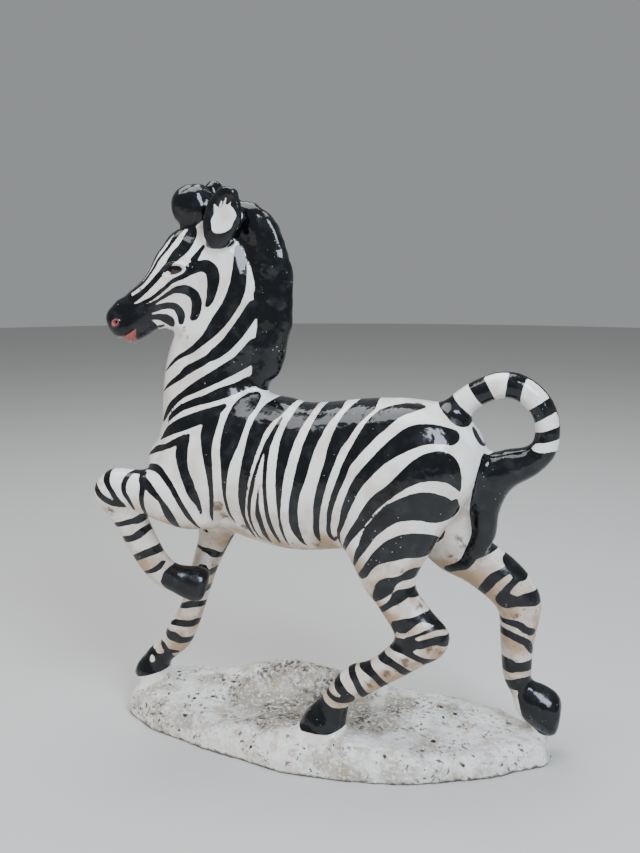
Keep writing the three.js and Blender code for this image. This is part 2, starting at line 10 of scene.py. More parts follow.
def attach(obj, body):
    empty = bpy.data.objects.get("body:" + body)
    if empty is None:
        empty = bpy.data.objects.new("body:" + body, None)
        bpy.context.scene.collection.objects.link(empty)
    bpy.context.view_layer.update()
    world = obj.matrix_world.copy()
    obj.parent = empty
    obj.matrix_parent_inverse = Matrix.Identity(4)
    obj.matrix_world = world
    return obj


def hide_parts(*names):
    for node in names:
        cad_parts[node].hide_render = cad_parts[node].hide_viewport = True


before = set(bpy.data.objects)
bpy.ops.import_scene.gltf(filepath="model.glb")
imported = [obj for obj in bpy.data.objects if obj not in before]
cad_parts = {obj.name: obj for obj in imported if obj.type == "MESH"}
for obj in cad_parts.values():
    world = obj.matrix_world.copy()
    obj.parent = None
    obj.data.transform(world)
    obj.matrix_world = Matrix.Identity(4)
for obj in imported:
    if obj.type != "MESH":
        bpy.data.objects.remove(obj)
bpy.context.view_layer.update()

bl_info = {
    "name": "Ceramic zebra",
    "version": (1, 0, 0),
    "blender": (4, 5, 0),
    "location": "3D View > Sidebar > Zebra",
    "description": "Models and paints a glazed ceramic zebra on its mound",
    "category": "Object",
}

CAD_NODE = "zebra_on_mound"
DRAWING_SHIFT = (-5.407, -13.568)  # mm from the drawing's origin to the middle of the box, X and Y
MM = 1000  # to the metre
POLL_X = -76.0  # mm, where the head turns on the neck
HEAD_TURN = math.radians(14)  # towards the left flank
TURN_START = 250.0  # mm, height where the neck begins to turn
TURN_END = 340.0
TURN_BACK = 40.0  # mm, x behind which nothing turns
# The right flank's pattern wanders, in waves of (height in mm, length in mm over 2 pi, start).
WANDER_BY_HEIGHT = (3.2, 23, 1)
WANDER_ALONG = (2.2, 17, 0)
WANDER_UP = (2.6, 19, 2)
WANDER_EDGE = 20.0  # mm from the middle plane, where the wander is full
CALM_START = 280.0  # mm, height above which it wanders less
CALM_SPAN = 40.0
CALM_SHARE = 0.75
PAINT_REACH = 3.0  # mm, how far a painted edge is measured
FINE_STROKE = 1.7  # mm, half width under which a stroke needs a finer mesh
FINE_MARGIN = 1.2  # mm round such a stroke
THINNEST = 0.2  # mm, least half width of a stroke
HEAD_SIDE = -70.0  # mm, x in front of which eyes and nose lie
NOSE_SIDE = -120.0
HEAD_FLOOR = 286.0  # mm, height of the chin
TAIL_START = (108.0, 228.0)  # mm, x behind and z above which the tail's ring lies
RIDGE_FACING = 0.94  # how squarely the tail's black line faces outward
RIDGE_SHARPNESS = 30.0
UNDERSIDE = 0.02  # mm, height under which a face lies on the table
FLAT_POINTS = 0.6  # mm, height under which a point of the new skin is set on the table
TRUNK_START = (58.0, 30.0)  # mm, height where the trunk's smoothing sets in, and over how far
TRUNK_END = (318.0, 26.0)  # mm, height where it gives way to the head's, and over how far

# A brush stroke is a line of (x, z, half width) in mm on the left flank, with z from the table.
# These strokes are on both sides, and the right flank mirrors them.
FLANK_STROKES = {
    "barrel_1": [
        (-44.5, 257.5, 4.5), (-47, 254, 7), (-50.2, 250, 7.4), (-52.5, 240, 7.7), (-54.2, 230, 6.8),
        (-55.7, 220, 4.5), (-56.5, 210, 2.7), (-57.2, 195, 1.4), (-55.8, 180, 1.2), (-53.2, 171.5, 0.3)],
    "barrel_2": [
        (-20, 257, 4), (-26, 252.5, 6.3), (-30.5, 249, 6.6), (-35, 240, 5.5), (-37.2, 230, 4.8),
        (-41.6, 210, 3.6), (-43.2, 200, 3.4), (-44.3, 190, 2.7), (-44.5, 180, 1.5), (-42.9, 170, 1.5),
        (-40.6, 161.5, 0.8)],
    "fork_left": [
        (-20.3, 246.8, 0.7), (-23.1, 240, 1.5), (-26.9, 230, 2.3), (-29.8, 225, 1), (-34.4, 210, 1.3),
        (-36.8, 200, 1.6), (-39.1, 190, 1.4), (-40.2, 180, 1.1), (-39.3, 170, 0.9), (-37.2, 162, 0.8)],
    "fork_right": [
        (-26.4, 229, 1.6), (-26.9, 220, 1.5), (-27.5, 205, 1.4), (-27.1, 190, 1.5), (-26.6, 180, 1.7),
        (-25, 170, 1.6), (-22.9, 162, 1.2), (-22.4, 158.5, 0.6)],
    "fork_middle": [
        (-31.2, 203, 0.3), (-33.1, 190, 1.1), (-33.5, 180, 2.2), (-32.6, 175, 1.9), (-31.5, 165, 1.9),
        (-29.5, 158, 0.8)],
    "barrel_3": [
        (-5, 254.5, 5.2), (-7.2, 251, 5.8), (-9.2, 246, 5.3), (-11.7, 240, 5.2), (-14.2, 230, 4.7),
        (-15.5, 220, 3.9), (-16.8, 210, 3), (-17.9, 190, 1.6), (-18.3, 180, 1), (-17.9, 170, 1.2),
        (-16.4, 157, 0.5)],
    "barrel_4": [
        (14, 255.5, 5.6), (10.5, 251.5, 5.8), (7, 245, 5.2), (5.2, 240, 4.9), (1.7, 230, 4.5),
        (-2.9, 210, 4), (-5.6, 200, 3.3), (-7.7, 190, 3.2), (-8.4, 180, 3.3), (-8.4, 175, 3.2),
        (-7.5, 170, 2.9), (-5.2, 161, 1.4), (-3.3, 158, 0.5)],
    "barrel_5": [
        (38, 257, 5.4), (33, 253.5, 6.2), (28, 248.5, 6.4), (23.5, 240, 6), (19, 230, 4.4),
        (16.5, 220, 3.5), (13.4, 210, 3.1), (10.7, 200, 3), (8.5, 190, 2.7), (7.3, 180, 2.1),
        (6.2, 170, 2.1), (7.9, 160.5, 0.6)],
    "barrel_6": [
        (76, 257, 0.6), (70, 256.8, 2), (60, 254.7, 3.8), (51, 250, 6), (45.2, 245, 6.2), (41.2, 240, 5.5),
        (34.4, 230, 4), (28.3, 220, 2.8), (24.8, 210, 2.6), (20.8, 200, 2.2), (17.6, 190, 2),
        (15.7, 180, 1.6), (14.8, 170, 1.7), (17.5, 164.5, 1.1), (19.5, 167, 1)],
    "rump_1": [
        (96, 239.2, 4.6), (90, 241, 5.2), (80, 241.8, 6.3), (71, 239.8, 7), (60.3, 233.2, 5.8),
        (50, 224.3, 4.5), (40, 213, 4), (34.5, 205, 3.6), (28, 190, 2.9), (24.9, 180, 2.1),
        (21.5, 170, 1.2), (23, 160, 0.4)],
    "rump_2": [
        (102, 204.5, 0.6), (100.6, 209, 2.6), (97, 216, 6), (90, 221.5, 9.8), (80, 220.3, 8.5),
        (70, 214.5, 6.1), (60, 206, 4.4), (50, 197.6, 4.4), (43.7, 190, 4), (37.5, 180, 3.5),
        (30.2, 170, 2.6), (25.2, 160, 1.6), (25, 156, 0.9)],
    "rump_3": [
        (99.5, 197.5, 1.8), (95, 192, 6.5), (88, 193, 10), (80, 195, 9.9), (70, 193.5, 8.3),
        (60, 189.7, 6.7), (50, 181, 5.3), (44.5, 174.3, 4.5), (40, 165, 3.2), (36.9, 160, 2.5),
        (32.8, 150, 0.9)],
    "rump_4": [
        (85, 169.5, 4.4), (80, 167.4, 8.6), (70, 167.8, 8.6), (60, 164.5, 7.5), (50, 158.3, 4.4),
        (45, 152.6, 3.2), (40.5, 146, 3), (38, 143.5, 2.4)],
    "buttock": [(107, 243, 0.5), (110, 238, 0.9), (113, 233, 0.7), (115, 230.5, 0.4)],
    "neck_1": [
        (-56, 361, 1.8), (-54.5, 355, 3.4), (-53.7, 350, 4.1), (-54.2, 340, 5), (-56.1, 330, 5.6),
        (-60.8, 320, 5.5), (-67.8, 310, 5.3), (-76, 300, 3.4), (-87.5, 290.5, 2.2), (-96.5, 286, 1.6),
        (-104, 280.5, 1.2), (-110.3, 274.5, 0.5)],
    "neck_2": [
        (-44.5, 321, 4.5), (-50.9, 310, 4.7), (-60, 297, 4.6), (-65, 292.3, 4.3), (-70, 288.3, 3.9),
        (-75, 285.2, 2.7), (-80, 282.1, 2.9), (-90, 276.8, 3.1), (-95, 272.5, 2.4), (-105, 266.1, 1.5),
        (-112.5, 260, 0.5)],
    "neck_3": [
        (-44, 293, 6), (-50, 285.6, 6), (-55, 281.6, 5.3), (-65, 275.4, 4.8), (-75, 269.9, 4.2),
        (-85, 264.4, 3.4), (-90, 261.5, 2.6), (-95, 258.3, 2.3), (-104, 250.6, 2.4), (-110.5, 241, 1.4),
        (-111.8, 238.5, 0.6)],
    "neck_4": [
        (-46, 269, 4), (-50, 268, 4), (-55, 265.2, 3.7), (-65, 261.5, 4.1), (-75, 257.6, 3.2),
        (-85, 254.4, 2.7), (-95, 249.9, 2.4), (-103.5, 243, 1.7), (-105.5, 239.5, 0.5)],
    "chevron_1": [
        (-62.5, 253, 1.6), (-66.5, 250.3, 3), (-72, 247.3, 4.4), (-82, 243.6, 4.7), (-94, 238.7, 4.6),
        (-100, 235.8, 3.9), (-105, 232.9, 3.2), (-113.5, 225.5, 0.4)],
    "chevron_1_leg": [
        (-68, 249, 3.6), (-69.5, 245, 5.2), (-71.4, 235, 5.4), (-70.9, 225, 4), (-69.1, 215, 3.2),
        (-67.5, 200, 2), (-67.6, 190, 1.7), (-69, 180, 1.4), (-69.2, 173, 0.5)],
    "chevron_2": [
        (-86.3, 232.5, 1.4), (-89.5, 228.8, 3.6), (-94, 228.2, 2.8), (-106, 222.5, 2), (-112, 220.5, 2.3),
        (-118, 218, 2), (-125.5, 212.8, 0.5)],
    "brow_1": [
        (-97, 377, 1.8), (-103.5, 370, 2.3), (-107.5, 364.8, 2.3), (-112.4, 357.8, 1.8), (-115.8, 350, 1.2),
        (-119.8, 342.8, 1), (-128, 335, 1), (-136, 328.5, 1.2)],
    "brow_2": [
        (-94, 376.5, 1.8), (-98.3, 369.5, 1.9), (-102.8, 361.8, 1.3), (-110, 353, 1.1), (-115, 344.8, 1.1),
        (-121.5, 337.3, 1.1), (-126, 334, 1.3), (-130.5, 331.5, 1.7)],
    "brow_3": [
        (-87.5, 374, 2.5), (-88.7, 369, 4.2), (-90.2, 364, 4.3), (-92.5, 360, 4.2), (-96.5, 356, 3.7),
        (-99.8, 352.3, 3), (-103.2, 348.2, 2.2), (-109.5, 341, 2.1), (-117.5, 333.3, 2.1),
        (-125.5, 327, 2.4), (-130, 324.5, 3)],
    "cheek_0": [(-78.5, 361.5, 1.2), (-81.5, 357, 1.7), (-84.5, 352.5, 2.3)],
    "cheek_1": [
        (-75.9, 321.8, 1.6), (-74.2, 325, 2.7), (-72.9, 330, 3.6), (-71.4, 339, 4.7), (-72.4, 344.5, 4.8),
        (-75.8, 347.8, 4.6), (-80, 348.2, 3.9), (-85, 347.3, 4.2), (-90, 342.9, 2.3), (-95, 340, 1.75),
        (-100, 337.3, 1.45), (-105, 332.9, 1.45), (-115, 325.8, 1.4), (-123.5, 321.8, 1.5),
        (-127, 320.5, 2)],
    "cheek_2": [
        (-86.7, 312.9, 2.1), (-85, 315, 3.2), (-83.6, 320, 3.7), (-83.5, 324.5, 3.65), (-85.5, 329, 3.5),
        (-90, 332, 3.4), (-95, 332.4, 2.6), (-100, 330.8, 1.7), (-110, 324.7, 1.1), (-120, 319.5, 2)],
    "cheek_3": [
        (-95.5, 309.9, 2.1), (-95.3, 315, 3), (-97.8, 319.8, 2.8), (-102, 321.3, 2.5), (-107, 320.9, 2.2),
        (-112, 319.4, 2.4), (-118, 318.5, 3.2)],
    "cheek_4": [
        (-102.5, 308.2, 2), (-103.5, 310, 3.5), (-106, 311.7, 3.5), (-110, 313.2, 2.4), (-115, 313.1, 2),
        (-120, 313, 3)],
    "jaw_mark": [(-112.5, 306.2, 1), (-109, 307.3, 0.8)],
    "nose_mark": [(-124, 332.7, 0.6), (-123.4, 332.4, 0.5)],
}
# These are on the left legs only.
NEAR_STROKES = {
    "chevron_2_leg": [
        (-89, 229, 4.2), (-90.2, 225, 4.7), (-90.5, 220, 5.1), (-88.4, 210, 4), (-84, 200, 3.9),
        (-82.2, 195, 3.6), (-79.6, 190, 3.2), (-77.3, 185, 1.9), (-75.3, 175, 0.5)],
    "shoulder_arc": [
        (-124, 205, 0.6), (-119.5, 207, 1.6), (-114, 207.6, 2.2), (-109, 206.7, 2.4), (-104.5, 204.1, 2.3),
        (-100, 200.1, 2.2), (-95.5, 195, 2.1), (-89.7, 185, 2), (-84.3, 175, 1.9), (-79.5, 167.5, 1)],
    "arm_1": [
        (-118.5, 199.5, 2.2), (-114, 195.5, 2.9), (-107.8, 190, 2.2), (-104.8, 187, 1.9),
        (-100.9, 180, 3.1), (-98.9, 175, 3.6), (-96.8, 169.5, 3), (-95.8, 166, 2)],
    "arm_2": [
        (-121.5, 203, 2.2), (-120.1, 200, 2.8), (-119.1, 195, 2.3), (-119.9, 185, 2), (-118.5, 175, 1.5)],
    "arm_3": [
        (-119.5, 203.5, 1.2), (-128, 204, 1), (-131, 202.5, 1.6), (-132.7, 200, 2), (-133.8, 195, 2),
        (-133, 190, 1.8), (-130.5, 186, 1.6), (-127.3, 178, 0.9)],
    "knee_1": [
        (-148.5, 205, 2.6), (-147.9, 200, 2.9), (-145.6, 195, 2.1), (-142.1, 190, 1.9), (-139, 185, 2),
        (-134.5, 180, 1.6)],
    "knee_2": [
        (-160.5, 196.5, 2), (-158, 193, 2.3), (-155, 190, 2.6), (-151.5, 186.8, 2.6), (-143, 182, 2.4),
        (-134, 179.8, 1)],
    "shin_1": [
        (-144, 164.5, 1.8), (-141, 165, 1.9), (-136, 166.5, 2.1), (-130.5, 168, 2.3), (-126.5, 169, 3),
        (-123.5, 171.5, 2.6), (-119, 173.5, 1.8)],
    "shin_2": [
        (-138, 153.5, 2.6), (-134.5, 154.3, 2.7), (-129.5, 156, 2.5), (-126, 158.5, 3), (-121.5, 162, 2.2),
        (-116, 163, 2)],
    "shin_3": [
        (-133.5, 138, 2.6), (-130.5, 139.5, 2.7), (-126, 141.8, 2.8), (-121, 144, 3.1), (-116, 145.5, 3.2),
        (-111.5, 146, 3), (-108, 143, 2)],
    "shin_4": [
        (-127, 127, 1.2), (-124, 127.9, 1.5), (-119, 129.8, 1.9), (-115, 132.5, 2.1), (-113.2, 135, 1.6)],
    "thigh_1": [
        (76.3, 149.8, 1.2), (72.3, 147.3, 3.8), (66, 145, 2.3), (60.5, 142.5, 3.3), (55.5, 138.5, 6),
        (51.5, 133.3, 4.2), (48.7, 129.5, 2.5), (46.8, 125.7, 0.5)],
    "thigh_2": [
        (80, 132.5, 3.2), (74.5, 134, 3.2), (70, 134.5, 3.1), (65, 132.7, 4.4), (61.5, 129.2, 3),
        (58, 126, 2.2), (52, 120.8, 2.2), (47, 117, 2.2)],
    "thigh_3": [
        (94, 113.5, 2.6), (88.5, 116.6, 3.1), (84, 118.4, 3.1), (80, 118.4, 2.5), (75, 116.2, 2.9),
        (70, 113.7, 4.5), (66, 111.5, 4.8), (62.5, 112, 3), (61, 107, 2), (60.5, 104.5, 1.5)],
    "hock_1": [
        (98, 110, 2), (93, 112.2, 2), (88.5, 111.6, 1.4), (80, 108.3, 1), (76, 106.3, 1.2),
        (71, 103.5, 1.6)],
    "hock_2": [
        (101, 101, 3.6), (96, 102.8, 3.7), (90, 104.2, 2.9), (80, 101.1, 2.9), (75, 100.8, 3.8),
        (70, 98.3, 5.5), (65, 97.9, 4.8), (60, 97.4, 4), (56, 97.8, 3.4)],
    "hock_3": [(70, 94.5, 2.6), (75, 92.4, 2.3), (83.5, 88.6, 2.5), (90, 87.5, 2.4)],
    "hock_4": [(83, 88.5, 2), (81.9, 86, 0.9)],
    "cannon_1": [
        (46.5, 90.3, 3.2), (53.5, 87.5, 3), (60, 85.6, 2.7), (65, 83.2, 2.7), (69, 79.6, 3), (72.5, 76, 3)],
    "cannon_2": [
        (37, 83, 4.6), (41.5, 79.6, 3.8), (45.5, 77, 2.9), (49.3, 74.3, 2.6), (52.5, 70.7, 2.7),
        (55, 67, 3), (57.5, 63, 3)],
    "cannon_3": [
        (30, 78, 2.8), (32.8, 73.8, 2.6), (35.8, 69.5, 2.4), (38, 65, 2.6), (40.6, 60.2, 2.9),
        (43.5, 56, 3.1), (46, 52, 3)],
    "cannon_4": [
        (19, 71, 3), (21.3, 66.5, 3), (24, 62.5, 3.7), (28, 58.8, 3.2), (31.8, 56, 3.2), (29.5, 53.5, 2.5),
        (23.5, 53.1, 2.1), (17, 55.2, 1.9), (10.5, 59, 1.8)],
}
# These are on the right legs, as they show past the left ones.
FAR_STROKES = {
    "far_arm": [
        (-102.5, 138.8, 1.5), (-98, 138.9, 1.2), (-94, 137.5, 1.7), (-89.4, 136.6, 2.4),
        (-85.9, 134.5, 3.3), (-82.5, 133, 2.3), (-79.5, 134, 1.4), (-72.5, 148, 0.8)],
    "far_arm_mark": [(-94.5, 152, 0.7), (-91.5, 152.8, 1.2), (-89.5, 151.5, 0.8)],
    "far_knee": [(-103, 120, 2.6), (-97, 118, 3), (-90, 119, 2.8), (-84, 122, 1.6)],
    "far_shin_0": [(-108, 106, 2), (-103, 105, 2.6), (-96, 105, 2.8), (-90, 107, 2)],
    "far_shin_1": [(-115, 89.3, 1.5), (-110, 91.2, 2.4), (-104, 92.9, 2.8), (-95, 92.5, 2.4)],
    "far_shin_2": [
        (-123, 74.8, 1), (-119, 76.5, 2.1), (-115, 77, 2.6), (-105, 76.8, 2.9), (-101.8, 78.6, 2.1)],
    "far_shin_3": [
        (-127.3, 68, 2), (-123, 65.9, 3.6), (-118.5, 65.4, 4.1), (-114, 62.9, 3.2), (-107, 62.5, 2.6)],
    "far_shin_4": [(-131.5, 58, 1.6), (-128.5, 56, 2.5), (-126.2, 51, 3), (-126, 46, 3.2)],
    "far_shin_5": [(-126, 52.5, 2), (-121.5, 52.2, 1.8), (-118.5, 51.8, 1.4)],
    "far_thigh_1": [
        (134, 142, 3), (129.5, 139.6, 3.1), (125.5, 137.2, 3.5), (122.3, 134.5, 3.9), (118.8, 130, 3.8),
        (115.5, 125, 3.5), (113, 120, 3)],
    "far_thigh_2": [(131, 148, 3), (136, 143, 4.5), (140, 138, 4.5), (143, 135.5, 2.5)],
    "far_thigh_3": [
        (140, 136, 2.5), (134.5, 130.5, 2.5), (131.5, 126, 3), (130, 119, 5.8), (135, 119, 5),
        (140, 119, 3.9), (145, 120, 4.8), (151.5, 120.3, 5.3)],
    "far_hock_1": [
        (126, 104.5, 1.2), (130, 102.3, 1.9), (140, 101.4, 2.9), (145, 97.8, 2.7), (149.5, 95.3, 2.9)],
    "far_hock_2": [
        (127, 94.5, 2.9), (135, 92.6, 2.8), (145, 88.3, 2.9), (148, 84.5, 2.5), (150, 78.5, 1.2)],
    "far_cannon_1": [(127.5, 70, 5.2), (135, 68.6, 5.4), (140, 68.2, 3.7), (150, 69, 4)],
    "far_cannon_2": [(135, 53.6, 3.5), (140, 54.1, 4.5), (145, 55.5, 5), (150, 54, 6)],
}
# These close the pattern where the right side is out of sight.
OUTER_STROKES = {
    "outer_shoulder": [(-92, 228, 2), (-91, 214, 4.4), (-86, 200, 3.8), (-79, 186, 2)],
    "outer_arm_1": [(-104, 196, 1.4), (-94, 184, 2.4), (-84, 172, 2.6), (-76, 166, 1)],
    "outer_arm_2": [(-100, 172, 1.6), (-92, 164, 2.8), (-80, 157, 2.2)],
    "outer_thigh_1": [(50, 150, 2), (66, 146, 4), (84, 150, 6.4), (104, 160, 5.6), (118, 172, 2.4)],
    "outer_thigh_2": [(84, 132, 2), (96, 134, 4.6), (110, 143, 4.8), (122, 156, 2)],
}
TAIL_STROKES = {
    "tail_1": [
        (83.5, 265.5, 5.6), (88.8, 260.3, 5.3), (94, 255.2, 4.9), (99.5, 250.2, 4.6), (103, 247.5, 3.4)],
    "tail_2": [(104.5, 279, 5.6), (107, 275, 5.6), (112, 268, 5.5), (117, 260, 4.6)],
    "tail_3": [(137, 285, 6.3), (136, 281, 6.2), (133.8, 272, 5.3), (132.3, 262, 5.2)],
    "tail_4": [(164, 263.5, 5.2), (160, 261, 5.2), (152, 256.3, 4.9), (145, 251.5, 4.7)],
    "tail_5": [(168, 243.5, 4.2), (156, 239.3, 3.8), (147.5, 237.4, 3.4), (142.5, 233, 4)],
    "inner_thigh": [
        (112, 162, 6), (108.5, 155, 5.2), (105.5, 149, 4.5), (102, 144.5, 4.3), (97, 142, 3.2),
        (91, 139, 3)],
    "inner_mark": [(119, 154.5, 2.5), (124, 155.5, 1.8)],
}
# A patch is a closed outline of (x, z) in mm.
FLANK_PATCHES = {
    "muzzle": [
        (-134, 333), (-128.5, 325.5), (-127.5, 322.5), (-122.5, 320.3), (-119, 316.5), (-117.5, 312),
        (-115, 310), (-113.6, 306), (-117, 299), (-130, 286), (-158, 286), (-164, 312), (-146, 334)],
    "mane": [
        (-57, 367), (-54.5, 363), (-50, 355), (-48, 350), (-46, 343), (-44.3, 333), (-45.5, 328),
        (-43.5, 318), (-43, 310), (-43.8, 302), (-46, 292), (-46.8, 284), (-47.3, 274), (-46, 267),
        (-38.5, 262), (-24, 262), (-8, 290), (-8, 350), (-22, 388), (-48, 402), (-58, 396), (-60, 380)],
    "ear": [
        (-77, 366), (-75.5, 361.5), (-71, 360), (-63, 360.3), (-58.5, 363.5), (-54, 371), (-49, 378),
        (-47.5, 390), (-51, 404), (-60, 408), (-68, 402), (-74, 394), (-77, 384), (-77.3, 375)],
    "forelock": [
        (-109, 392), (-106, 379), (-98, 374), (-88, 373.5), (-84.5, 376), (-80, 379.5), (-76, 381),
        (-72, 388), (-72, 402), (-84, 414), (-100, 408), (-108, 401)],
}
EAR_LINING = [
    (-67.1, 389.7), (-63.9, 386.9), (-60.3, 389), (-56, 388.3), (-52.1, 382.6), (-53.9, 378.3),
    (-58.1, 371.9), (-67.4, 370.6), (-69.6, 378.3), (-67.8, 383.3)]
MOUTH = [(-127, 304.6), (-131.5, 301.8), (-136.4, 298.4), (-136, 292), (-132, 291), (-128.6, 299)]
TUFT = [
    (114.5, 226), (118, 225), (127, 228), (143, 230.5), (151, 228.5), (163, 229), (166, 222), (150, 205),
    (136, 199), (133, 195), (128, 187), (125, 172), (120.5, 158), (118, 152), (110, 150), (101, 143),
    (94, 142), (100, 147), (104, 155), (107, 165), (107.5, 172), (106, 182), (107, 192), (109, 202),
    (112, 215)]
NEAR_HIND_HOOF = [
    (-12, 26), (-8, 38), (0, 46), (8, 52.5), (10.7, 51.6), (13.6, 49.4), (20, 46.6), (28.9, 45.9),
    (31.5, 40), (30, 32.5), (22, 28.8), (14, 27), (0, 27)]
FAR_FORE_HOOF = [
    (-160, 25), (-156, 40), (-149, 51), (-142, 54), (-140, 52.3), (-137, 51.5), (-133.5, 49.5),
    (-130, 50.5), (-127, 53), (-122, 47), (-121, 40), (-125, 37.5), (-134, 33.8), (-142, 31.4),
    (-151, 28.6)]
FAR_HIND_HOOF = [
    (143.6, 51.5), (141.6, 46), (143, 40), (144.5, 33), (146.5, 27.5), (150, 24.5), (155, 21), (162, 15),
    (188, 8), (188, 62), (160, 62), (150, 55)]
RAISED_HOOF = [
    (-110.1, 130.6), (-113.7, 123.4), (-114.8, 119.9), (-113, 113.4), (-111.6, 106), (-90, 96), (-66, 104),
    (-66, 126), (-84, 136), (-100, 136)]
WHITE_STROKES = {
    "pastern_patch": [(-136, 52.3, 1.4), (-132, 53.2, 1.8)],
    "hoof_spot": [(-140.2, 47.6, 1.6), (-139.6, 45.4, 2.4)],
    "ear_dab_1": [(-63.3, 388, 0.7), (-61.8, 391.5, 0.25)],
    "ear_dab_2": [(-60.3, 389, 0.8), (-58.8, 393.5, 0.25)],
    "ear_dab_3": [(-57, 388.5, 0.7), (-55.6, 391.3, 0.2)],
    "lip": [(-139.6, 296.6, 1), (-136.6, 297.6, 0.8)],
}
# The standing feet as lines of (x, y, z, radius) in mm, a little thicker than the clay.
FEET = [
    [(9.5, -27, 27, 17.4), (13.6, -27, 36, 14.6), (18, -27, 46.5, 12.6), (26, -29, 58, 13.2)],
    [(-144, 21, 26, 16.2), (-140, 21, 36, 13.8), (-136, 21, 44, 11.8), (-126, 21, 55, 12.6)],
    [(164, 25, 31, 16), (156, 25, 37.5, 16.4), (145, 25, 48, 12), (141, 24.5, 56, 12.4)],
]
TAIL_RING = (133.0, 250.0)  # mm, middle of the tail's ring
LINE_SIDE = -4.0  # mm, y past which the tail's black line lies
MOUND_TOP = 50.0  # mm, above every point of the mound
# A push moves the skin out or in: (x, z, mm outward, reach), on both sides.
HEAD_PUSHES = [
    (-148, 315, 2.8, 4.5), (-140.5, 321.5, 4.2, 4.5), (-133.5, 328, 2.6, 4.5), (-126, 342.5, -1.9, 5),
    (-120.5, 351.5, -1.6, 5), (-104.5, 367.5, 2.9, 4.5), (-97.5, 371.5, 3.6, 4), (-152.5, 305, -1.7, 5),
    (-149, 297.5, -1.4, 4.5), (-143.5, 294, -1.8, 4), (-138.5, 293.5, -3, 3), (-104, 391, 1.6, 6),
    (-92, 402, 1.6, 6), (-108.5, 305.2, 1.6, 4), (-103, 307, 2.8, 4.5), (-97.5, 307, 2.4, 4.5),
    (-106.5, 382, 0.8, 4), (-83, 401, 2.2, 4), (-64, 405, 1.3, 4), (-101, 302, -4, 3.4), (-122, 213, 2, 7)]
# The same, on the left side alone.
LIMB_PUSHES = [
    (-147, 206, 1.8, 6), (-74, 170, 3, 5.5), (-60, 172, -2, 4.5), (30, 160, 2.6, 8), (101.5, 104, 1.4, 6),
    (30.5, 75.5, 2, 5.5), (22, 69, 1, 4), (-112, 122, 1, 5)]
# An oval is (x, z, half length, half height, tilt).
EYE = (-98.3, 345.6, 6, 3, math.radians(10))
EYE_CORNER = [(-106.4, 342), (-102.4, 345), (-100.4, 342.8)]
LOWER_LID = {"lower_lid": [(-104.5, 341.2, 0.6), (-99, 341.4, 0.9), (-93, 343.6, 0.8), (-90.5, 346.5, 1)]}
IRIS = (-97.2, 344.4, 2.9, 1.5, math.radians(10))
NOSTRIL = (-140.4, 309.3, 3.1, 2.4, math.radians(40))
NOSTRIL_OPENING = (-139.9, 309.8, 1.5, 0.9, math.radians(40))
MOUTH_MIDDLE = (-133, 298)
LIP_LINE = {"lips": [(-137, 298.3, 0.3), (-143, 296.5, 0.3), (-148, 297.5, 0.3)]}
LID_CREASE = {"crease": [(-106, 341.4, 0.2), (-102.5, 341.6, 0.2), (-97, 342.2, 0.2)]}
# Heights and depths of the face's relief, in mm.
EYE_BULGE = 1.3
SOCKET_DEPTH = 1.1
LOWER_LID_HEIGHT = 0.3
UPPER_LID_HEIGHT = 0.9  # more than the lower
LID_FOLD_DEPTH = 0.6
NOSTRIL_RIM = 0.8
NOSTRIL_DEPTH = 1.8
LIP_HEIGHT = 0.5
MOUTH_EDGE_DEPTH = 0.9
LIP_LINE_DEPTH = 0.7
CREASE_DEPTH = 0.4
MANE_GROOVE_DEPTH = 0.6
MANE_GROOVE_TOP = 350.0  # mm, height where the groove in front of the mane ends
# Sizes of lumps, in mm.
MANE_LUMPS = 11
ROCK_LUMPS = 26
PEBBLE_LUMPS = 7
PEBBLE_SHARE = 0.45  # of the rocks' height
MUD_AND_SHADOW_MIDDLE = (-5, 8)  # mm, x and y where the mound is dirtiest, under the body, where its painted shadow lies too
MUD_AND_SHADOW_REACH = (95, 50)
HOOF_LINE = 38.0  # mm, height above which the legs' soiling and painted shade begin
# A stain is (x, z, radius).
STAINS = [
    (99, 163, 3.6), (102, 157.5, 3), (93, 150, 3.2), (97, 148, 2.4), (57.5, 152, 3), (66, 149, 2.4),
    (58, 77.5, 4), (69.5, 87.5, 4.2), (46, 68, 4), (86.5, 99, 3.6), (92.5, 96, 3.2), (78, 125.5, 3),
    (-145, 176, 4), (-63, 184, 5.5), (-60.5, 177, 4), (-93.5, 305.5, 2.6), (-88, 309, 1.6), (-90.5, 300, 2),
    (-46, 170, 4), (-37, 160, 3), (-12, 157.5, 3), (4, 158, 3.4), (138, 108, 3.6), (-128, 176, 2.6)]


def linear(code):
    """The scene-linear colour of an sRGB hex value."""
    channels = [int(code[n:n + 2], 16) / 255 for n in (1, 3, 5)]
    return tuple(c / 12.92 if c <= 0.04045 else ((c + 0.055) / 1.055) ** 2.4 for c in channels)


def ease(share):
    """A smooth step from 0 to 1."""
    share = np.clip(share, 0, 1)
    return share * share * (3 - 2 * share)


def length_setting(name, description, metres):
    """A length that the panel shows."""
    return bpy.props.FloatProperty(
        name=name, description=description, default=metres, subtype="DISTANCE", unit="LENGTH")


def angle_setting(name, description, degrees):
    """An angle that the panel shows."""
    return bpy.props.FloatProperty(
        name=name, description=description, default=math.radians(degrees), subtype="ANGLE", unit="ROTATION")


def colour_setting(name, description, code):
    """A colour that the panel shows."""
    return bpy.props.FloatVectorProperty(
        name=name, description=description, default=linear(code), subtype="COLOR")


class CastingSettings(bpy.types.PropertyGroup):
    """Sizes of the casting's skin."""

    skin_step: length_setting("Skin step", "Spacing of the skin's points", 0.00215)
    body_softening: bpy.props.IntProperty(
        name="Body softening", description="Rounds of smoothing on trunk and legs", default=30)
    head_softening: bpy.props.IntProperty(
        name="Head softening", description="Rounds of smoothing on head and feet", default=8)
    mound_relief: length_setting("Mound relief", "Height of the mound's lumps", 0.0015)
    mane_relief: length_setting("Mane relief", "Height of the waves in mane and forelock", 0.0017)


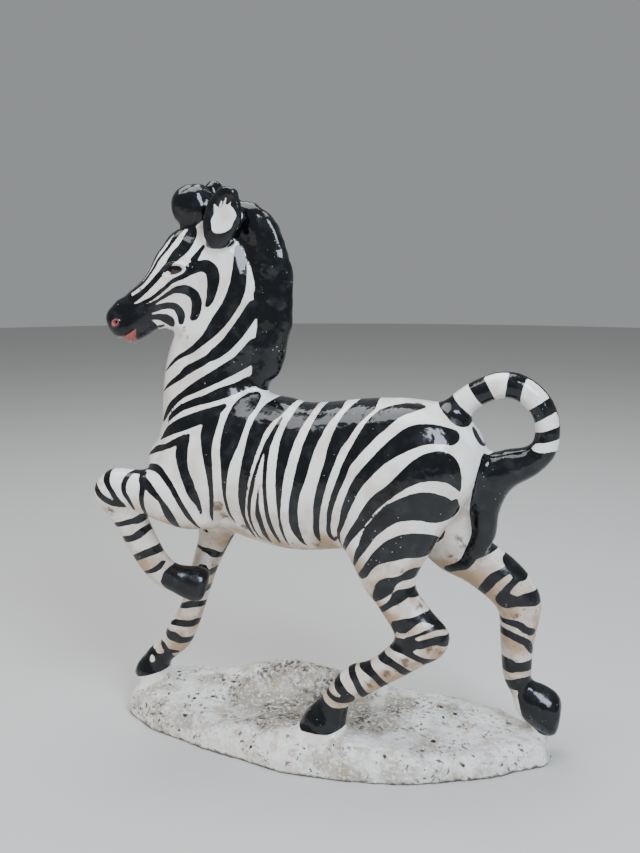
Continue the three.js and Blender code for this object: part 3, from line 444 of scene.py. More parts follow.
class GlazeSettings(bpy.types.PropertyGroup):
    """Colours of the glazes and the slip."""

    white: colour_setting("White glaze", "Clear glaze over white slip", "#EFEDE8")
    cream: colour_setting("Thin white", "White glaze where it ran thin", "#DAD2C6")
    black: colour_setting("Black glaze", "Brushed black", "#0B0D10")
    worn_black: colour_setting("Thin black", "Black where the brush ran dry", "#23262A")
    pinhole: colour_setting("Pinhole", "Slip in the pinholes of the black", "#8D908F")
    # Brown-beige that warms the white: painted shade on undersides and low parts, with old soiling.
    grime_and_shade: colour_setting("Grime", "Old dirt on the lower parts", "#A3835F")
    stain: colour_setting("Stain", "Dark brown stains", "#5B3F2A")
    flesh: colour_setting("Flesh", "Mouth and nostrils", "#96504B")
    iris: colour_setting("Iris", "Brown of the eyes", "#3B2420")
    slip: colour_setting("Slip", "White slip on the mound", "#E4E1DB")
    clouds: colour_setting("Clouds", "Grey of the mound", "#8E8779")
    tan: colour_setting("Tan", "Warm patches of the mound", "#AD9A80")
    specks: colour_setting("Specks", "Brown specks of the mound", "#4F463B")
    crust: colour_setting("Crust", "Whitest slip of the mound", "#F2F1EE")
    pits: colour_setting("Pits", "Pits in the mound", "#2E2620")
    foot: colour_setting("Foot", "Bare clay at the mound's foot", "#4B3526")


class StageSettings(bpy.types.PropertyGroup):
    """Camera, floor and lights."""

    azimuth: angle_setting("Azimuth", "Camera to the right of the flank's middle", 15)
    elevation: angle_setting("Elevation", "Camera above the level", 10.3)
    distance: length_setting("Distance", "Camera to its target", 0.7)
    lens: bpy.props.FloatProperty(
        name="Lens", description="Focal length on a 36 mm long side", default=42.2, subtype="DISTANCE_CAMERA")
    target_height: length_setting("Target height", "Height that the camera looks at", 0.2375)


def lone_edit(piece):
    """Selects one object alone and opens it for editing, all of it selected."""
    bpy.ops.object.select_all(action="DESELECT")
    bpy.context.view_layer.objects.active = piece
    piece.select_set(True)
    bpy.ops.object.mode_set(mode="EDIT")
    bpy.ops.mesh.select_all(action="SELECT")


def rows(items, name, width=3, kind=np.float32):
    """One property of all items, a row for each."""
    flat = np.empty(len(items) * width, kind)
    items.foreach_get(name, flat)
    return flat.reshape(-1, width)


def drawn(places):
    """Places of the mesh in the drawing's frame, in mm."""
    points = places.astype(float) * MM
    points[:, 0] -= DRAWING_SHIFT[0]
    points[:, 1] -= DRAWING_SHIFT[1]
    return points


def points_of(mesh):
    """The mesh's points in the drawing's frame, in mm."""
    return drawn(rows(mesh.vertices, "co"))


def set_points(mesh, points):
    """Puts points of the drawing's frame back into the mesh."""
    moved = points.copy()
    moved[:, 0] += DRAWING_SHIFT[0]
    moved[:, 1] += DRAWING_SHIFT[1]
    moved[:, 2] = np.maximum(moved[:, 2], 0)
    mesh.vertices.foreach_set("co", (moved / MM).astype(np.float32).ravel())
    mesh.update()


def normals_of(mesh):
    """The mesh's point normals."""
    return rows(mesh.vertex_normals, "vector").astype(float)


def edges_of(mesh):
    """The mesh's edges as two columns of point numbers."""
    return rows(mesh.edges, "vertices", 2, np.int32)


def softened(values, edges, rounds):
    """Values drawn towards the mean of their neighbours, round after round."""
    count = len(values)
    ends = np.concatenate([edges[:, 0], edges[:, 1]])
    others = np.concatenate([edges[:, 1], edges[:, 0]])
    degree = np.maximum(np.bincount(ends, minlength=count), 1)
    soft = values.copy()
    for _ in range(rounds):
        for column in range(soft.shape[1]):
            mean = np.bincount(ends, soft[others, column], count) / degree
            soft[:, column] += 0.5 * (mean - soft[:, column])
    return soft


def smoothed(points, edges, rounds):
    """Points without their facets, with the shrinking given back."""
    soft = softened(points, edges, rounds)
    return soft + softened(points - soft, edges, rounds)


def wave(values, shape):
    """A slow wave of (height, length over 2 pi, start)."""
    height, length, start = shape
    return height * np.sin(values / length + start)


def lookup(points):
    """Each point's place on the left flank, and its distance from the middle plane, in mm.

    The middle plane turns with the head. A point of the right flank is mirrored, and its pattern
    wanders a little, as a brushed one does.
    """
    x, y, z = points.T
    turn = HEAD_TURN * ease((z - TURN_START) / (TURN_END - TURN_START)) * (x < TURN_BACK)
    across = -(x - POLL_X) * np.sin(turn) + y * np.cos(turn)
    far = np.maximum(across, 0)
    wander = ease(far / WANDER_EDGE) * (1 - CALM_SHARE * ease((z - CALM_START) / CALM_SPAN))
    shift = wave(z, WANDER_BY_HEIGHT) + wave(x, WANDER_ALONG)
    flank_x = x + 2 * far * np.sin(turn) + wander * shift
    flank_z = z + wander * wave(x, WANDER_UP)
    return flank_x, flank_z, across


def eased_line(line, steps=4, closed=False):
    """The line's points with an even curve between them."""
    knots = np.array(line, float)
    count = len(knots)
    places = []
    for n in range(count if closed else count - 1):
        around = np.arange(n - 1, n + 3)
        around = around % count if closed else np.clip(around, 0, count - 1)
        before, start, end, after = knots[around]
        for step in range(steps):
            t = step / steps
            places.append(
                0.5 * (2 * start + (end - before) * t + (2 * before - 5 * start + 4 * end - after) * t ** 2
                       + (3 * start - before - 3 * end + after) * t ** 3))
    places.append(knots[0] if closed else knots[-1])
    return np.array(places)


def near_line(x, z, line, reach):
    """Numbers of the points that lie in the box round a line."""
    low = line[:, :2].min(0) - reach
    high = line[:, :2].max(0) + reach
    return np.nonzero((x > low[0]) & (x < high[0]) & (z > low[1]) & (z < high[1]))[0]


def gap_to_span(x, z, start, end):
    """Distance of points to a span, and where along it they are nearest."""
    step = end[:2] - start[:2]
    along = ((x - start[0]) * step[0] + (z - start[1]) * step[1]) / max(step @ step, 1e-9)
    along = np.clip(along, 0, 1)
    return np.hypot(x - start[0] - along * step[0], z - start[1] - along * step[1]), along


def strokes_field(x, z, strokes):
    """How deep each point lies in the strokes, in mm, negative outside."""
    depth = np.full(len(x), -PAINT_REACH)
    for line in strokes.values():
        line = eased_line(line)
        line[:, 2] = np.maximum(line[:, 2], THINNEST)
        chosen = near_line(x, z, line, line[:, 2].max() + PAINT_REACH)
        for start, end in zip(line[:-1], line[1:]):
            gap, along = gap_to_span(x[chosen], z[chosen], start, end)
            inside = start[2] + along * (end[2] - start[2]) - gap
            depth[chosen] = np.maximum(depth[chosen], inside)
    return np.minimum(depth, PAINT_REACH)


def patch_field(x, z, outline):
    """How deep each point lies in a closed patch, in mm, negative outside."""
    line = eased_line(outline, closed=True)
    chosen = near_line(x, z, line, PAINT_REACH)
    px, pz = x[chosen], z[chosen]
    nearest = np.full(len(chosen), PAINT_REACH)
    inside = np.zeros(len(chosen), bool)
    for start, end in zip(line[:-1], line[1:]):
        gap, _ = gap_to_span(px, pz, start, end)
        nearest = np.minimum(nearest, gap)
        crosses = (start[1] > pz) != (end[1] > pz)
        rise = end[1] - start[1]
        at = start[0] + (pz - start[1]) * (end[0] - start[0]) / (rise if abs(rise) > 1e-9 else 1e-9)
        inside ^= crosses & (px < at)
    depth = np.full(len(x), -PAINT_REACH)
    depth[chosen] = np.where(inside, nearest, -nearest)
    return depth


def oval_field(x, z, oval):
    """How deep each point lies in a tilted oval, in mm, negative outside."""
    middle_x, middle_z, half_length, half_height, tilt = oval
    along = (x - middle_x) * math.cos(tilt) + (z - middle_z) * math.sin(tilt)
    up = (z - middle_z) * math.cos(tilt) - (x - middle_x) * math.sin(tilt)
    return (1 - np.hypot(along / half_length, up / half_height)) * half_height


def feet_field(points):
    """How deep each point lies in the standing feet, in mm, negative outside."""
    depth = np.full(len(points), -MOUND_TOP)
    for foot in FEET:
        for start, end in zip(np.array(foot[:-1], float), np.array(foot[1:], float)):
            step = end[:3] - start[:3]
            along = np.clip((points - start[:3]) @ step / (step @ step), 0, 1)
            gap = np.linalg.norm(points - start[:3] - along[:, None] * step, axis=1)
            depth = np.maximum(depth, start[3] + along * (end[3] - start[3]) - gap)
    return depth


def ground_field(points):
    """How far each point of the mound lies from the feet, in mm, negative on the zebra."""
    return np.minimum(MOUND_TOP - points[:, 2], -feet_field(points))


def only(field, kept):
    """A field where kept is true, and unpainted elsewhere."""
    return np.where(kept, field, -PAINT_REACH)


def black_field(points):
    """How deep each point lies in black glaze, in mm, negative outside."""
    x, y, z = points.T
    flank_x, flank_z, across = lookup(points)
    fields = [strokes_field(flank_x, flank_z, FLANK_STROKES)]
    fields += [patch_field(flank_x, flank_z, outline) for outline in FLANK_PATCHES.values()]
    fields.append(only(strokes_field(x, z, NEAR_STROKES), y < 2))
    fields.append(only(strokes_field(x, z, FAR_STROKES), y > 2))
    fields.append(only(strokes_field(x, z, OUTER_STROKES), y > 26))
    fields.append(strokes_field(x, z, TAIL_STROKES))
    # The right ear is black all over, its lining too: painted shade, where that lining lies in shadow and
    # catches a dark reflection.
    fields.append(only(np.full(len(x), 1.0), (across > 3) & (flank_z > 380) & (flank_x > -86)))
    fields.append(patch_field(x, z, TUFT))
    fields.append(only(patch_field(x, z, RAISED_HOOF), y < 9))
    feet = feet_field(points) - 0.5
    for outline, left in ((NEAR_HIND_HOOF, True), (FAR_FORE_HOOF, False), (FAR_HIND_HOOF, False)):
        hoof = np.minimum(patch_field(x, z, outline), feet)
        fields.append(only(hoof, (y < 0) == left))
    black = np.max(fields, axis=0)
    # The lining is white on the left ear alone; on the right ear it is left black as painted shade.
    white = only(patch_field(flank_x, flank_z, EAR_LINING), across < -4)
    white = np.maximum(white, strokes_field(flank_x, flank_z, WHITE_STROKES))
    return np.minimum(black, -white)


def edit_faces(piece, chosen):
    """Opens one object for editing, with the chosen faces selected."""
    lone_edit(piece)
    bpy.ops.mesh.select_all(action="DESELECT")
    bpy.ops.object.mode_set(mode="OBJECT")
    piece.data.polygons.foreach_set("select", chosen)
    bpy.ops.object.mode_set(mode="EDIT")
    bpy.ops.mesh.select_mode(type="FACE")


def refine(piece, chosen):
    """Halves the mesh's step over the chosen faces."""
    edit_faces(piece, chosen)
    bpy.ops.mesh.subdivide(number_cuts=1)
    bpy.ops.object.mode_set(mode="OBJECT")


def face_middles(mesh):
    """Middles of the mesh's faces in the drawing's frame, in mm."""
    return drawn(rows(mesh.polygons, "center"))


def fine_strokes(strokes):
    """The thin stretches of the strokes."""
    thin = {}
    for name, line in strokes.items():
        kept = [place for place in line if place[2] < FINE_STROKE]
        if len(kept) > 1:
            thin[name] = kept
    return thin


def wants_detail(middles):
    """Faces of the head and of thin strokes."""
    flank_x, flank_z, across = lookup(middles)
    head = (flank_z > 292) & (flank_x < -78 + (flank_z - 292) * 0.25) & (np.abs(across) < 30)
    thin = strokes_field(flank_x, flank_z, fine_strokes(FLANK_STROKES)) > -FINE_MARGIN
    thin |= strokes_field(middles[:, 0], middles[:, 2], fine_strokes(NEAR_STROKES)) > -FINE_MARGIN
    return head | (thin & (middles[:, 1] < 0))


def wants_fine_detail(middles):
    """Faces at eyes, nostrils and mouth."""
    flank_x, flank_z, _ = lookup(middles)
    eye = np.hypot(flank_x - EYE[0], flank_z - EYE[1]) < 10
    nose = np.hypot(flank_x - NOSTRIL[0], flank_z - NOSTRIL[1]) < 6
    mouth = np.hypot(flank_x - MOUTH_MIDDLE[0], flank_z - MOUTH_MIDDLE[1]) < 9
    return eye | nose | mouth


def close_underside(piece):
    """Makes the flat underside one face."""
    edit_faces(piece, face_middles(piece.data)[:, 2] < UNDERSIDE)
    bpy.ops.mesh.dissolve_faces()
    bpy.ops.object.mode_set(mode="OBJECT")


def cast_skin(settings):
    """A copy of the CAD casting with an even, facet-free skin."""
    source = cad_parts[CAD_NODE]
    piece = bpy.data.objects.new("zebra_casting", source.data.copy())
    bpy.context.scene.collection.objects.link(piece)
    piece.data.name = "zebra_casting"
    piece.data.materials.clear()
    lone_edit(piece)
    bpy.ops.mesh.remove_doubles(threshold=0.00001)
    bpy.ops.mesh.normals_make_consistent(inside=False)
    bpy.ops.object.mode_set(mode="OBJECT")
    skin = piece.modifiers.new("even_skin", "REMESH")
    skin.mode = "VOXEL"
    skin.voxel_size = settings.skin_step
    bpy.ops.object.modifier_apply(modifier=skin.name)
    points = points_of(piece.data)
    edges = edges_of(piece.data)
    body = smoothed(points, edges, settings.body_softening)
    head = smoothed(points, edges, settings.head_softening)
    above_feet = ease((points[:, 2] - TRUNK_START[0]) / TRUNK_START[1])
    below_head = 1 - ease((points[:, 2] - TRUNK_END[0]) / TRUNK_END[1])
    soft = head + (body - head) * (above_feet * below_head)[:, None]
    soft[points[:, 2] < FLAT_POINTS, 2] = 0
    set_points(piece.data, soft)
    return piece


def shape_profile(points, normals):
    """Follows the profile of head, chest and limbs."""
    flank_x, flank_z, _ = lookup(points)
    left = ease(-points[:, 1] / 8)
    moves = [(push, 1.0) for push in HEAD_PUSHES] + [(push, left) for push in LIMB_PUSHES]
    for (x, z, amount, reach), share in moves:
        weight = share * np.exp(-((flank_x - x) ** 2 + (flank_z - z) ** 2) / (2 * reach ** 2))
        points = points + normals * (amount * weight)[:, None]
    return points


def ring(distance, middle, width):
    """A soft ridge round a distance."""
    return np.exp(-((distance - middle) / width) ** 2)


def head_relief(points):
    """Height of eyes, lids, nostrils and lips over the plain skin, in mm."""
    x, z, across = lookup(points)
    side = np.abs(across) > 3
    eye = oval_field(x, z, EYE)
    bulge = EYE_BULGE * np.sqrt(np.clip(eye / EYE[3], 0, 1))
    relief = np.where(eye > 0, bulge, 0) - SOCKET_DEPTH * ease((eye + 1.2) / 1.2)
    above = ease((z - EYE[1] - 0.18 * (x - EYE[0]) + 1) / 3)
    relief += (LOWER_LID_HEIGHT + UPPER_LID_HEIGHT * above) * ring(eye, -1.1, 0.8)
    relief -= LID_FOLD_DEPTH * above * ring(eye, -3.4, 1)
    nostril = oval_field(x, z, NOSTRIL)
    relief += NOSTRIL_RIM * ring(nostril, 0.3, 0.8) - NOSTRIL_DEPTH * ease((nostril - 0.8) / 1.2)
    mouth = patch_field(x, z, MOUTH)
    relief += LIP_HEIGHT * ring(mouth, 1.6, 1) - MOUTH_EDGE_DEPTH * ring(mouth, 0, 0.7)
    relief -= LIP_LINE_DEPTH * ring(strokes_field(x, z, LIP_LINE), 0.2, 0.9)
    relief -= CREASE_DEPTH * ring(strokes_field(x, z, LID_CREASE), 0.2, 0.7)
    return np.where(side & (z > HEAD_FLOOR) & (x < HEAD_SIDE), relief, 0)


def lumps(points, size, depth, seed):
    """Soft noise on each point, about -1 to 1, with lumps of one size in mm."""
    return np.array([
        noise.fractal(Vector((p[0] + seed, p[1], p[2])) / size, 1.0, 2.0, depth) for p in points])


def hair_field(points):
    """How deep each point lies in mane or forelock, in mm, negative outside."""
    x, z, _ = lookup(points)
    mane = patch_field(x, z, FLANK_PATCHES["mane"])
    return np.maximum(mane, patch_field(x, z, FLANK_PATCHES["forelock"]))


def hair_waves(points, hair):
    """Waves of mane and forelock, about -1 to 1."""
    hairy = np.nonzero(hair > -PAINT_REACH + 0.01)[0]
    waves = np.zeros(len(points))
    waves[hairy] = lumps(points[hairy] * (1, 1, 0.5), MANE_LUMPS, 2, 40)
    return ease((hair + 0.5) / 3) * waves


def ground_lumps(points):
    """Lumps of the mound, about -1 to 1."""
    ground = ground_field(points)
    stony = np.nonzero((ground > 0) & (points[:, 2] > 0.4))[0]
    rocks = np.zeros(len(points))
    pebbles = PEBBLE_SHARE * lumps(points[stony], PEBBLE_LUMPS, 2, 90)
    rocks[stony] = lumps(points[stony], ROCK_LUMPS, 3, 7) + pebbles
    return ease(ground / 6) * ease(points[:, 2] / 5) * rocks


def carve(piece, settings):
    """Moves the skin into its fine forms."""
    mesh = piece.data
    set_points(mesh, shape_profile(points_of(mesh), normals_of(mesh)))
    refine(piece, wants_detail(face_middles(mesh)))
    refine(piece, wants_fine_detail(face_middles(mesh)))
    points = points_of(mesh)
    normals = normals_of(mesh)
    hair = hair_field(points)
    relief = head_relief(points)
    relief += hair_waves(points, hair) * settings.mane_relief * MM
    grooved = (hair > 0.1 - PAINT_REACH) & (points[:, 2] < MANE_GROOVE_TOP)
    relief -= MANE_GROOVE_DEPTH * ring(hair, 0, 1.2) * grooved
    relief += ground_lumps(points) * settings.mound_relief * MM
    relief[points[:, 2] < 0.1] = 0
    set_points(mesh, points + normals * relief[:, None])
    close_underside(piece)


def keep(mesh, name, values):
    """Stores one number per point on the mesh."""
    attribute = mesh.attributes.new(name, "FLOAT", "POINT")
    attribute.data.foreach_set("value", values.astype(np.float32))


def grime_and_shade_field(points, normals, ground):
    """How much brown-beige each point gets, from 0 to 1: painted shade on undersides and low parts, with
    soiling.
    """
    height = points[:, 2]
    above_hooves = ease((height - HOOF_LINE) / 14)
    # Painted shade on downward-facing undersides and on the low body, tinted warm as light bounced from
    # below, together with soiling; the legs above the hooves get more of it.
    under = ease((0.25 - normals[:, 2]) / 1.1)
    low = ease((215 - height) / 90) * (0.2 + 0.8 * above_hooves)
    legs = ease((165 - height) / 30) * above_hooves
    belly = under * ease((330 - height) / 60)
    grime_and_shade = 0.1 + 0.5 * low * (0.4 + 0.6 * under) + 0.22 * legs + 0.25 * belly
    return np.clip(grime_and_shade * (ground < 1), 0, 1)


def stain_field(points):
    """How deep each point lies in a brown stain, in mm, negative outside."""
    x, z, across = lookup(points)
    place_x = np.where(across < 0, points[:, 0], x)
    stain = np.full(len(points), -PAINT_REACH)
    for middle_x, middle_z, radius in STAINS:
        stain = np.maximum(stain, radius - np.hypot(place_x - middle_x, z - middle_z))
    return stain


def tail_ridge(points, normals):
    """How deep each point lies in the thin black line round the outside of the tail's ring, in mm."""
    outward = points[:, [0, 2]] - TAIL_RING
    outward /= np.linalg.norm(outward, axis=1)[:, None]
    facing = np.sum(outward * normals[:, [0, 2]], axis=1)
    on_ring = (points[:, 0] > TAIL_START[0]) & (points[:, 2] > TAIL_START[1])
    return only((facing - RIDGE_FACING) * RIDGE_SHARPNESS, on_ring & (points[:, 1] > LINE_SIDE))


def eye_black(x, z, side):
    """How deep each point lies in the black of the eyes, in mm, negative outside."""
    return only(oval_field(x, z, EYE), side & (x < HEAD_SIDE))


def flesh_field(x, z, side):
    """How deep each point lies in mouth or nostrils, in mm, negative outside."""
    flesh = np.minimum(oval_field(x, z, NOSTRIL), -oval_field(x, z, NOSTRIL_OPENING))
    flesh = np.maximum(flesh, patch_field(x, z, MOUTH))
    return only(flesh, (x < NOSE_SIDE) & side)


def mud_and_shadow_field(points):
    """How much each point of the mound is soiled and painted with the body's shadow, from 0 to 1."""
    along = (points[:, 0] - MUD_AND_SHADOW_MIDDLE[0]) / MUD_AND_SHADOW_REACH[0]
    across = (points[:, 1] - MUD_AND_SHADOW_MIDDLE[1]) / MUD_AND_SHADOW_REACH[1]
    return ease((1 - np.hypot(along, across)) * 1.6) * (points[:, 2] < MOUND_TOP)


def paint_fields(piece):
    """Stores where each glaze lies."""
    mesh = piece.data
    points = points_of(mesh)
    normals = normals_of(mesh)
    ground = ground_field(points)
    x, z, across = lookup(points)
    side = np.abs(across) > 2
    lid = only(strokes_field(x, z, LOWER_LID), side)
    corner = only(patch_field(x, z, EYE_CORNER), side)
    black = np.maximum(np.minimum(black_field(points), -lid), eye_black(x, z, side))
    black = np.maximum(black, tail_ridge(points, normals))
    keep(mesh, "black_mm", np.minimum(black, -corner))
    keep(mesh, "flesh_mm", flesh_field(x, z, side))
    keep(mesh, "iris_mm", only(oval_field(x, z, IRIS), side & (x < HEAD_SIDE)))
    # Brown-beige share: painted shade on undersides and low parts, with soiling.
    keep(mesh, "grime_and_shade", grime_and_shade_field(points, normals, ground))
    keep(mesh, "stain_mm", stain_field(points))
    # Where the mound is soiled and lies in the painted shadow of the body.
    keep(mesh, "mud_and_shadow", mud_and_shadow_field(points))
    corners = rows(mesh.loops, "vertex_index", 1, np.int32)[:, 0]
    firsts = rows(mesh.polygons, "loop_start", 1, np.int32)[:, 0]
    on_mound = ground[corners[firsts]] > 0
    mesh.polygons.foreach_set("material_index", on_mound.astype(np.int32))


class Brush:
    """Adds shader nodes to one tree, with patterns that lie still on the object."""

    def __init__(self, tree):
        self.tree = tree
        self.place = self.add("ShaderNodeTexCoord").outputs["Object"]

    def add(self, kind, links=None, **settings):
        """Adds a node, sets its properties or sockets, and links its inputs."""
        node = self.tree.nodes.new(kind)
        for name, value in settings.items():
            if hasattr(node, name):
                setattr(node, name, value)
            else:
                node.inputs[name].default_value = value
        for socket, source in (links or {}).items():
            self.tree.links.new(source, node.inputs[socket])
        return node

    def fill(self, socket, value):
        """Links a socket to another one, or gives it a value."""
        if isinstance(value, bpy.types.NodeSocket):
            self.tree.links.new(value, socket)
        else:
            socket.default_value = value

    def stored(self, name):
        """The number that the mesh stores under a name."""
        return self.add("ShaderNodeAttribute", attribute_name=name).outputs["Fac"]

    def grain(self, size_mm, detail=3.0):
        """Noise with lumps of a real size."""
        node = self.add("ShaderNodeTexNoise", {"Vector": self.place}, Scale=MM / size_mm, Detail=detail)
        return node.outputs["Fac"]

    def scatter(self, spacing_mm):
        """Distance to the nearest of many scattered points, as a share of their spacing."""
        node = self.add("ShaderNodeTexVoronoi", {"Vector": self.place}, Scale=MM / spacing_mm, Randomness=1.0)
        return node.outputs["Distance"]

    def ranged(self, value, low, high, to_low=0.0, to_high=1.0):
        """A value brought from one range to another, and held there."""
        node = self.add("ShaderNodeMapRange", {0: value}, interpolation_type="SMOOTHSTEP")
        for socket, number in zip((1, 2, 3, 4), (low, high, to_low, to_high)):
            node.inputs[socket].default_value = number
        return node.outputs[0]

    def joined(self, operation, first, second):
        """Two values joined; each is a socket or a number."""
        node = self.add("ShaderNodeMath", operation=operation)
        self.fill(node.inputs[0], first)
        self.fill(node.inputs[1], second)
        return node.outputs[0]

    def plus(self, first, second):
        """The sum of two values."""
        return self.joined("ADD", first, second)

    def times(self, first, second):
        """The product of two values."""
        return self.joined("MULTIPLY", first, second)

    def mixed(self, share, first, second):
        """Two colours mixed; each is a socket or a colour."""
        node = self.add("ShaderNodeMix", data_type="RGBA")
        self.tree.links.new(share, node.inputs["Factor"])
        for name, value in (("A", first), ("B", second)):
            socket = [s for s in node.inputs if s.name == name and s.type == "RGBA"][0]
            self.fill(socket, value if isinstance(value, bpy.types.NodeSocket) else (*value, 1))
        return [s for s in node.outputs if s.type == "RGBA"][0]

    def bumped(self, height, strength, distance, normal=None):
        """A normal that follows a height; the distance is in metres."""
        links = {"Height": height}
        if normal:
            links["Normal"] = normal
        return self.add("ShaderNodeBump", links, Strength=strength, Distance=distance).outputs[0]


def new_material(name):
    """A material with a plain shader, and its tree and shader."""
    material = bpy.data.materials.new(name)
    material.use_nodes = True
    return material, material.node_tree, material.node_tree.nodes["Principled BSDF"]


def glazed_earthenware(colours):
    """Slip cast earthenware, brushed in black and white and glazed clear.

    The eye gets a wet, slightly wavy gloss, brush marks in the black, pinholes, old soiling, and painted
    shade on undersides and low parts.
    """
    material, tree, shader = new_material("glazed_earthenware")
    shader.inputs["IOR"].default_value = 1.48
    paint = Brush(tree)
    wobble = paint.times(paint.joined("SUBTRACT", paint.grain(5), 0.5), 0.9)
    is_black = paint.ranged(paint.plus(paint.stored("black_mm"), wobble), -0.22, 0.22)
    thin_white = paint.ranged(paint.grain(24), 0.42, 0.68)
    white = paint.mixed(thin_white, colours.white, colours.cream)
    # Painted shade on undersides and low parts, with soiling, turns the white brown-beige.
    dirt_and_shade = paint.times(paint.stored("grime_and_shade"), paint.ranged(paint.grain(16), 0.3, 0.7, 0.45, 1.25))
    white = paint.mixed(paint.ranged(dirt_and_shade, 0.02, 0.9, 0, 0.9), white, colours.grime_and_shade)
    blot = paint.times(paint.joined("SUBTRACT", paint.grain(3.5, 6), 0.5), 11)
    is_stain = paint.ranged(paint.plus(paint.stored("stain_mm"), blot), 0, 3.4, 0, 0.85)
    white = paint.mixed(is_stain, white, colours.stain)
    freckles = paint.times(paint.ranged(paint.grain(2.2, 1), 0.7, 0.76), paint.ranged(dirt_and_shade, 0.25, 0.6))
    white = paint.mixed(freckles, white, colours.stain)
    dry_brush = paint.ranged(paint.grain(9), 0.45, 0.75, 0, 0.8)
    black = paint.mixed(dry_brush, colours.black, colours.worn_black)
    # Pinholes of 0.5 to 1.5 mm let the light slip show through the black.
    hole_size = paint.ranged(paint.grain(22), 0.38, 0.66, 0, 0.12)
    hole = paint.joined("LESS_THAN", paint.scatter(4), hole_size)
    colour = paint.mixed(is_black, white, paint.mixed(hole, black, colours.pinhole))
    colour = paint.mixed(paint.ranged(paint.stored("flesh_mm"), -0.2, 0.2), colour, colours.flesh)
    colour = paint.mixed(paint.ranged(paint.stored("iris_mm"), -0.3, 0.5), colour, colours.iris)
    tree.links.new(colour, shader.inputs["Base Color"])
    tree.links.new(paint.ranged(dirt_and_shade, 0.1, 0.8, 0.12, 0.4), shader.inputs["Roughness"])
    ripple = paint.bumped(paint.grain(11, 2), 0.6, 0.0016)
    holed = paint.bumped(paint.joined("SUBTRACT", 1.0, hole), 0.3, 0.0003, ripple)
    tree.links.new(holed, shader.inputs["Normal"])
    return material


def slipped_clay(colours):
    """Coarse clay under white slip with little glaze, as on the mound.

    The eye gets a chalky, pitted white with grey and brown specks, and a bare brown foot; under the body the
    grey clouds and the specks thicken, as soiling and as painted shadow of the body.
    """
    material, tree, shader = new_material("slipped_clay")
    shader.inputs["IOR"].default_value = 1.5
    paint = Brush(tree)
    mud_and_shadow_share = paint.stored("mud_and_shadow")
    # Under the body the grey clouds thicken: soiling, and painted shadow of the body.
    clouds = paint.plus(paint.grain(26, 8), paint.times(mud_and_shadow_share, 0.2))
    colour = paint.mixed(paint.ranged(clouds, 0.47, 0.7, 0, 0.85), colours.slip, colours.clouds)
    tan = paint.ranged(paint.grain(12, 8), 0.5, 0.66, 0, 0.6)
    colour = paint.mixed(tan, colour, colours.tan)
    # Brown specks thicken under the body as well, as soiling and painted shadow.
    specks = paint.plus(paint.grain(3.2, 4), paint.times(mud_and_shadow_share, 0.12))
    thick = paint.ranged(paint.grain(15, 3), 0.4, 0.6)
    specks = paint.times(paint.ranged(specks, 0.55, 0.63, 0, 0.95), thick)
    colour = paint.mixed(specks, colour, colours.specks)
    crust = paint.ranged(paint.grain(2.4, 2), 0.52, 0.64, 0, 0.55)
    colour = paint.mixed(crust, colour, colours.crust)
    pit_size = paint.ranged(paint.grain(17), 0.4, 0.64, 0.15, 0.34)
    ragged = paint.plus(paint.scatter(9), paint.times(paint.grain(1.6, 2), 0.3))
    pit = paint.joined("LESS_THAN", ragged, pit_size)
    colour = paint.mixed(pit, colour, colours.pits)
    height = paint.add("ShaderNodeSeparateXYZ", {0: paint.place}).outputs["Z"]
    foot = paint.plus(height, paint.times(paint.grain(5, 5), 0.006))
    colour = paint.mixed(paint.ranged(foot, 0.0034, 0.0058, 0.9, 0), colour, colours.foot)
    tree.links.new(colour, shader.inputs["Base Color"])
    tree.links.new(paint.ranged(paint.grain(20), 0.4, 0.65, 0.34, 0.62), shader.inputs["Roughness"])
    coarse = paint.bumped(paint.grain(6, 7), 0.9, 0.0028)
    sunk = paint.bumped(paint.joined("SUBTRACT", 1.0, pit), 0.6, 0.0008, coarse)
    tree.links.new(sunk, shader.inputs["Normal"])
    return material


class ZEBRA_OT_casting(bpy.types.Operator):
    """Model, carve and paint the zebra and its mound, which are one casting"""

    bl_idname = "zebra.casting"
    bl_label = "Casting"

    def execute(self, context):
        settings = context.scene.zebra_casting
        piece = cast_skin(settings)
        carve(piece, settings)
        paint_fields(piece)
        piece.data.materials.append(glazed_earthenware(context.scene.zebra_glaze))
        piece.data.materials.append(slipped_clay(context.scene.zebra_glaze))
        bpy.ops.object.select_all(action="DESELECT")
        context.view_layer.objects.active = piece
        piece.select_set(True)
        bpy.ops.object.shade_smooth()
        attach(piece, "root")
        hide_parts(CAD_NODE)
        return {"FINISHED"}


def add_panel(name, place, target, size, power, colour):
    """A soft light panel that faces a target."""
    bpy.ops.object.light_add(type="AREA", location=place)
    panel = bpy.context.object
    panel.name = name
    panel.rotation_euler = (Vector(target) - Vector(place)).to_track_quat("-Z", "Y").to_euler()
    panel.data.shape = "RECTANGLE"
    panel.data.size = size[0]
    panel.data.size_y = size[1]
    panel.data.energy = power
    panel.data.color = linear(colour)
    return panel


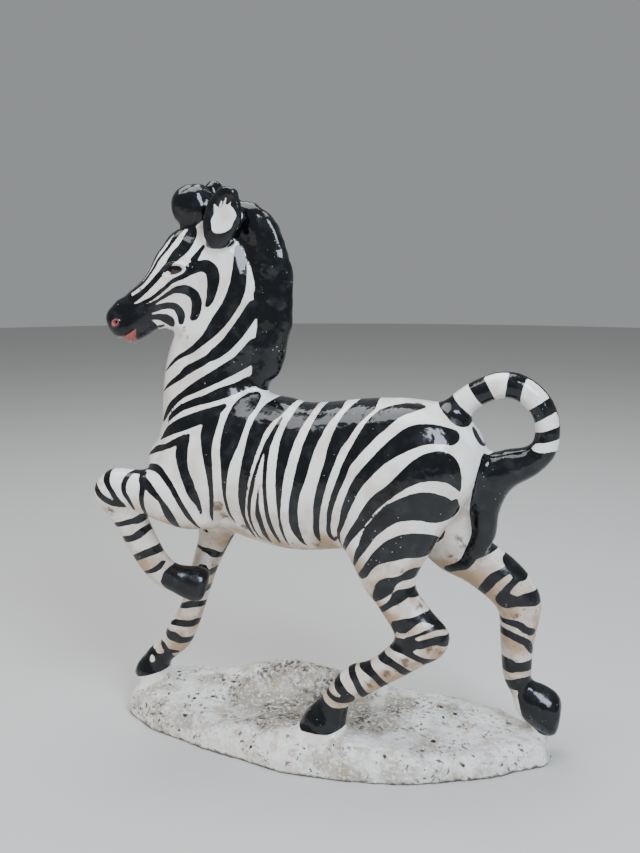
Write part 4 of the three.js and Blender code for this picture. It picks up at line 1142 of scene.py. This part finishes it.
class ZEBRA_OT_stage(bpy.types.Operator):
    """Set up the pale floor, the studio light and the camera"""

    bl_idname = "zebra.stage"
    bl_label = "Stage"

    def execute(self, context):
        settings = context.scene.zebra_stage
        bpy.ops.object.select_all(action="DESELECT")
        bpy.ops.mesh.primitive_circle_add(vertices=96, radius=4, fill_type="NGON")
        floor = context.object
        floor.name = "floor"
        material, _, shader = new_material("pale_floor")
        shader.inputs["Roughness"].default_value = 0.7
        shader.inputs["Base Color"].default_value = (*linear("#C6C4C0"), 1)
        floor.data.materials.append(material)
        world = bpy.data.worlds.new("studio")
        world.use_nodes = True
        background = world.node_tree.nodes["Background"]
        background.inputs["Color"].default_value = (*linear("#C9CDD0"), 1)
        background.inputs["Strength"].default_value = 0.5
        context.scene.world = world
        middle = (0, 0, 0.2)
        add_panel("window", (0.75, -0.85, 1.05), middle, (0.5, 0.8), 26, "#DCE9FA")
        add_panel("overhead", (-0.2, 0.1, 1.5), middle, (1.2, 1.0), 24, "#F3F6FA")
        fill = add_panel("fill", (-1.3, -1.4, 0.6), middle, (1.2, 1.2), 16, "#FFF6EC")
        fill.visible_glossy = False
        self.aim_camera(context, settings)
        return {"FINISHED"}

    def aim_camera(self, context, settings):
        """Looks at the left flank as the photograph does."""
        target = Vector((DRAWING_SHIFT[0] / MM, DRAWING_SHIFT[1] / MM, settings.target_height))
        level = math.cos(settings.elevation)
        back = Vector((
            math.sin(settings.azimuth) * level,
            -math.cos(settings.azimuth) * level,
            math.sin(settings.elevation),
        ))
        bpy.ops.object.camera_add(location=target + back * settings.distance)
        camera = context.object
        camera.name = "camera"
        camera.rotation_euler = (-back).to_track_quat("-Z", "Y").to_euler()
        camera.data.lens = settings.lens
        camera.data.sensor_width = 36
        context.scene.camera = camera


class ZEBRA_PT_panel(bpy.types.Panel):
    """The zebra's tools and settings"""

    bl_idname = "ZEBRA_PT_panel"
    bl_label = "Ceramic zebra"
    bl_space_type = "VIEW_3D"
    bl_region_type = "UI"
    bl_category = "Zebra"

    def draw(self, context):
        layout = self.layout
        for operator in (ZEBRA_OT_casting, ZEBRA_OT_stage):
            layout.operator(operator.bl_idname)
        for group in ("zebra_casting", "zebra_glaze", "zebra_stage"):
            settings = getattr(context.scene, group)
            box = layout.box()
            for name in settings.__annotations__:
                box.prop(settings, name)


SETTINGS = {"zebra_casting": CastingSettings, "zebra_glaze": GlazeSettings, "zebra_stage": StageSettings}
CLASSES = (CastingSettings, GlazeSettings, StageSettings, ZEBRA_OT_casting, ZEBRA_OT_stage, ZEBRA_PT_panel)


def register():
    """Adds the classes and their settings to Blender."""
    for cls in CLASSES:
        bpy.utils.register_class(cls)
    for name, group in SETTINGS.items():
        setattr(bpy.types.Scene, name, bpy.props.PointerProperty(type=group))


def unregister():
    """Takes them out again."""
    for name in SETTINGS:
        delattr(bpy.types.Scene, name)
    for cls in reversed(CLASSES):
        bpy.utils.unregister_class(cls)


def main():
    """Builds the zebra and its stage."""
    register()
    bpy.ops.zebra.casting()
    bpy.ops.zebra.stage()


if __name__ == "__main__":
    main()
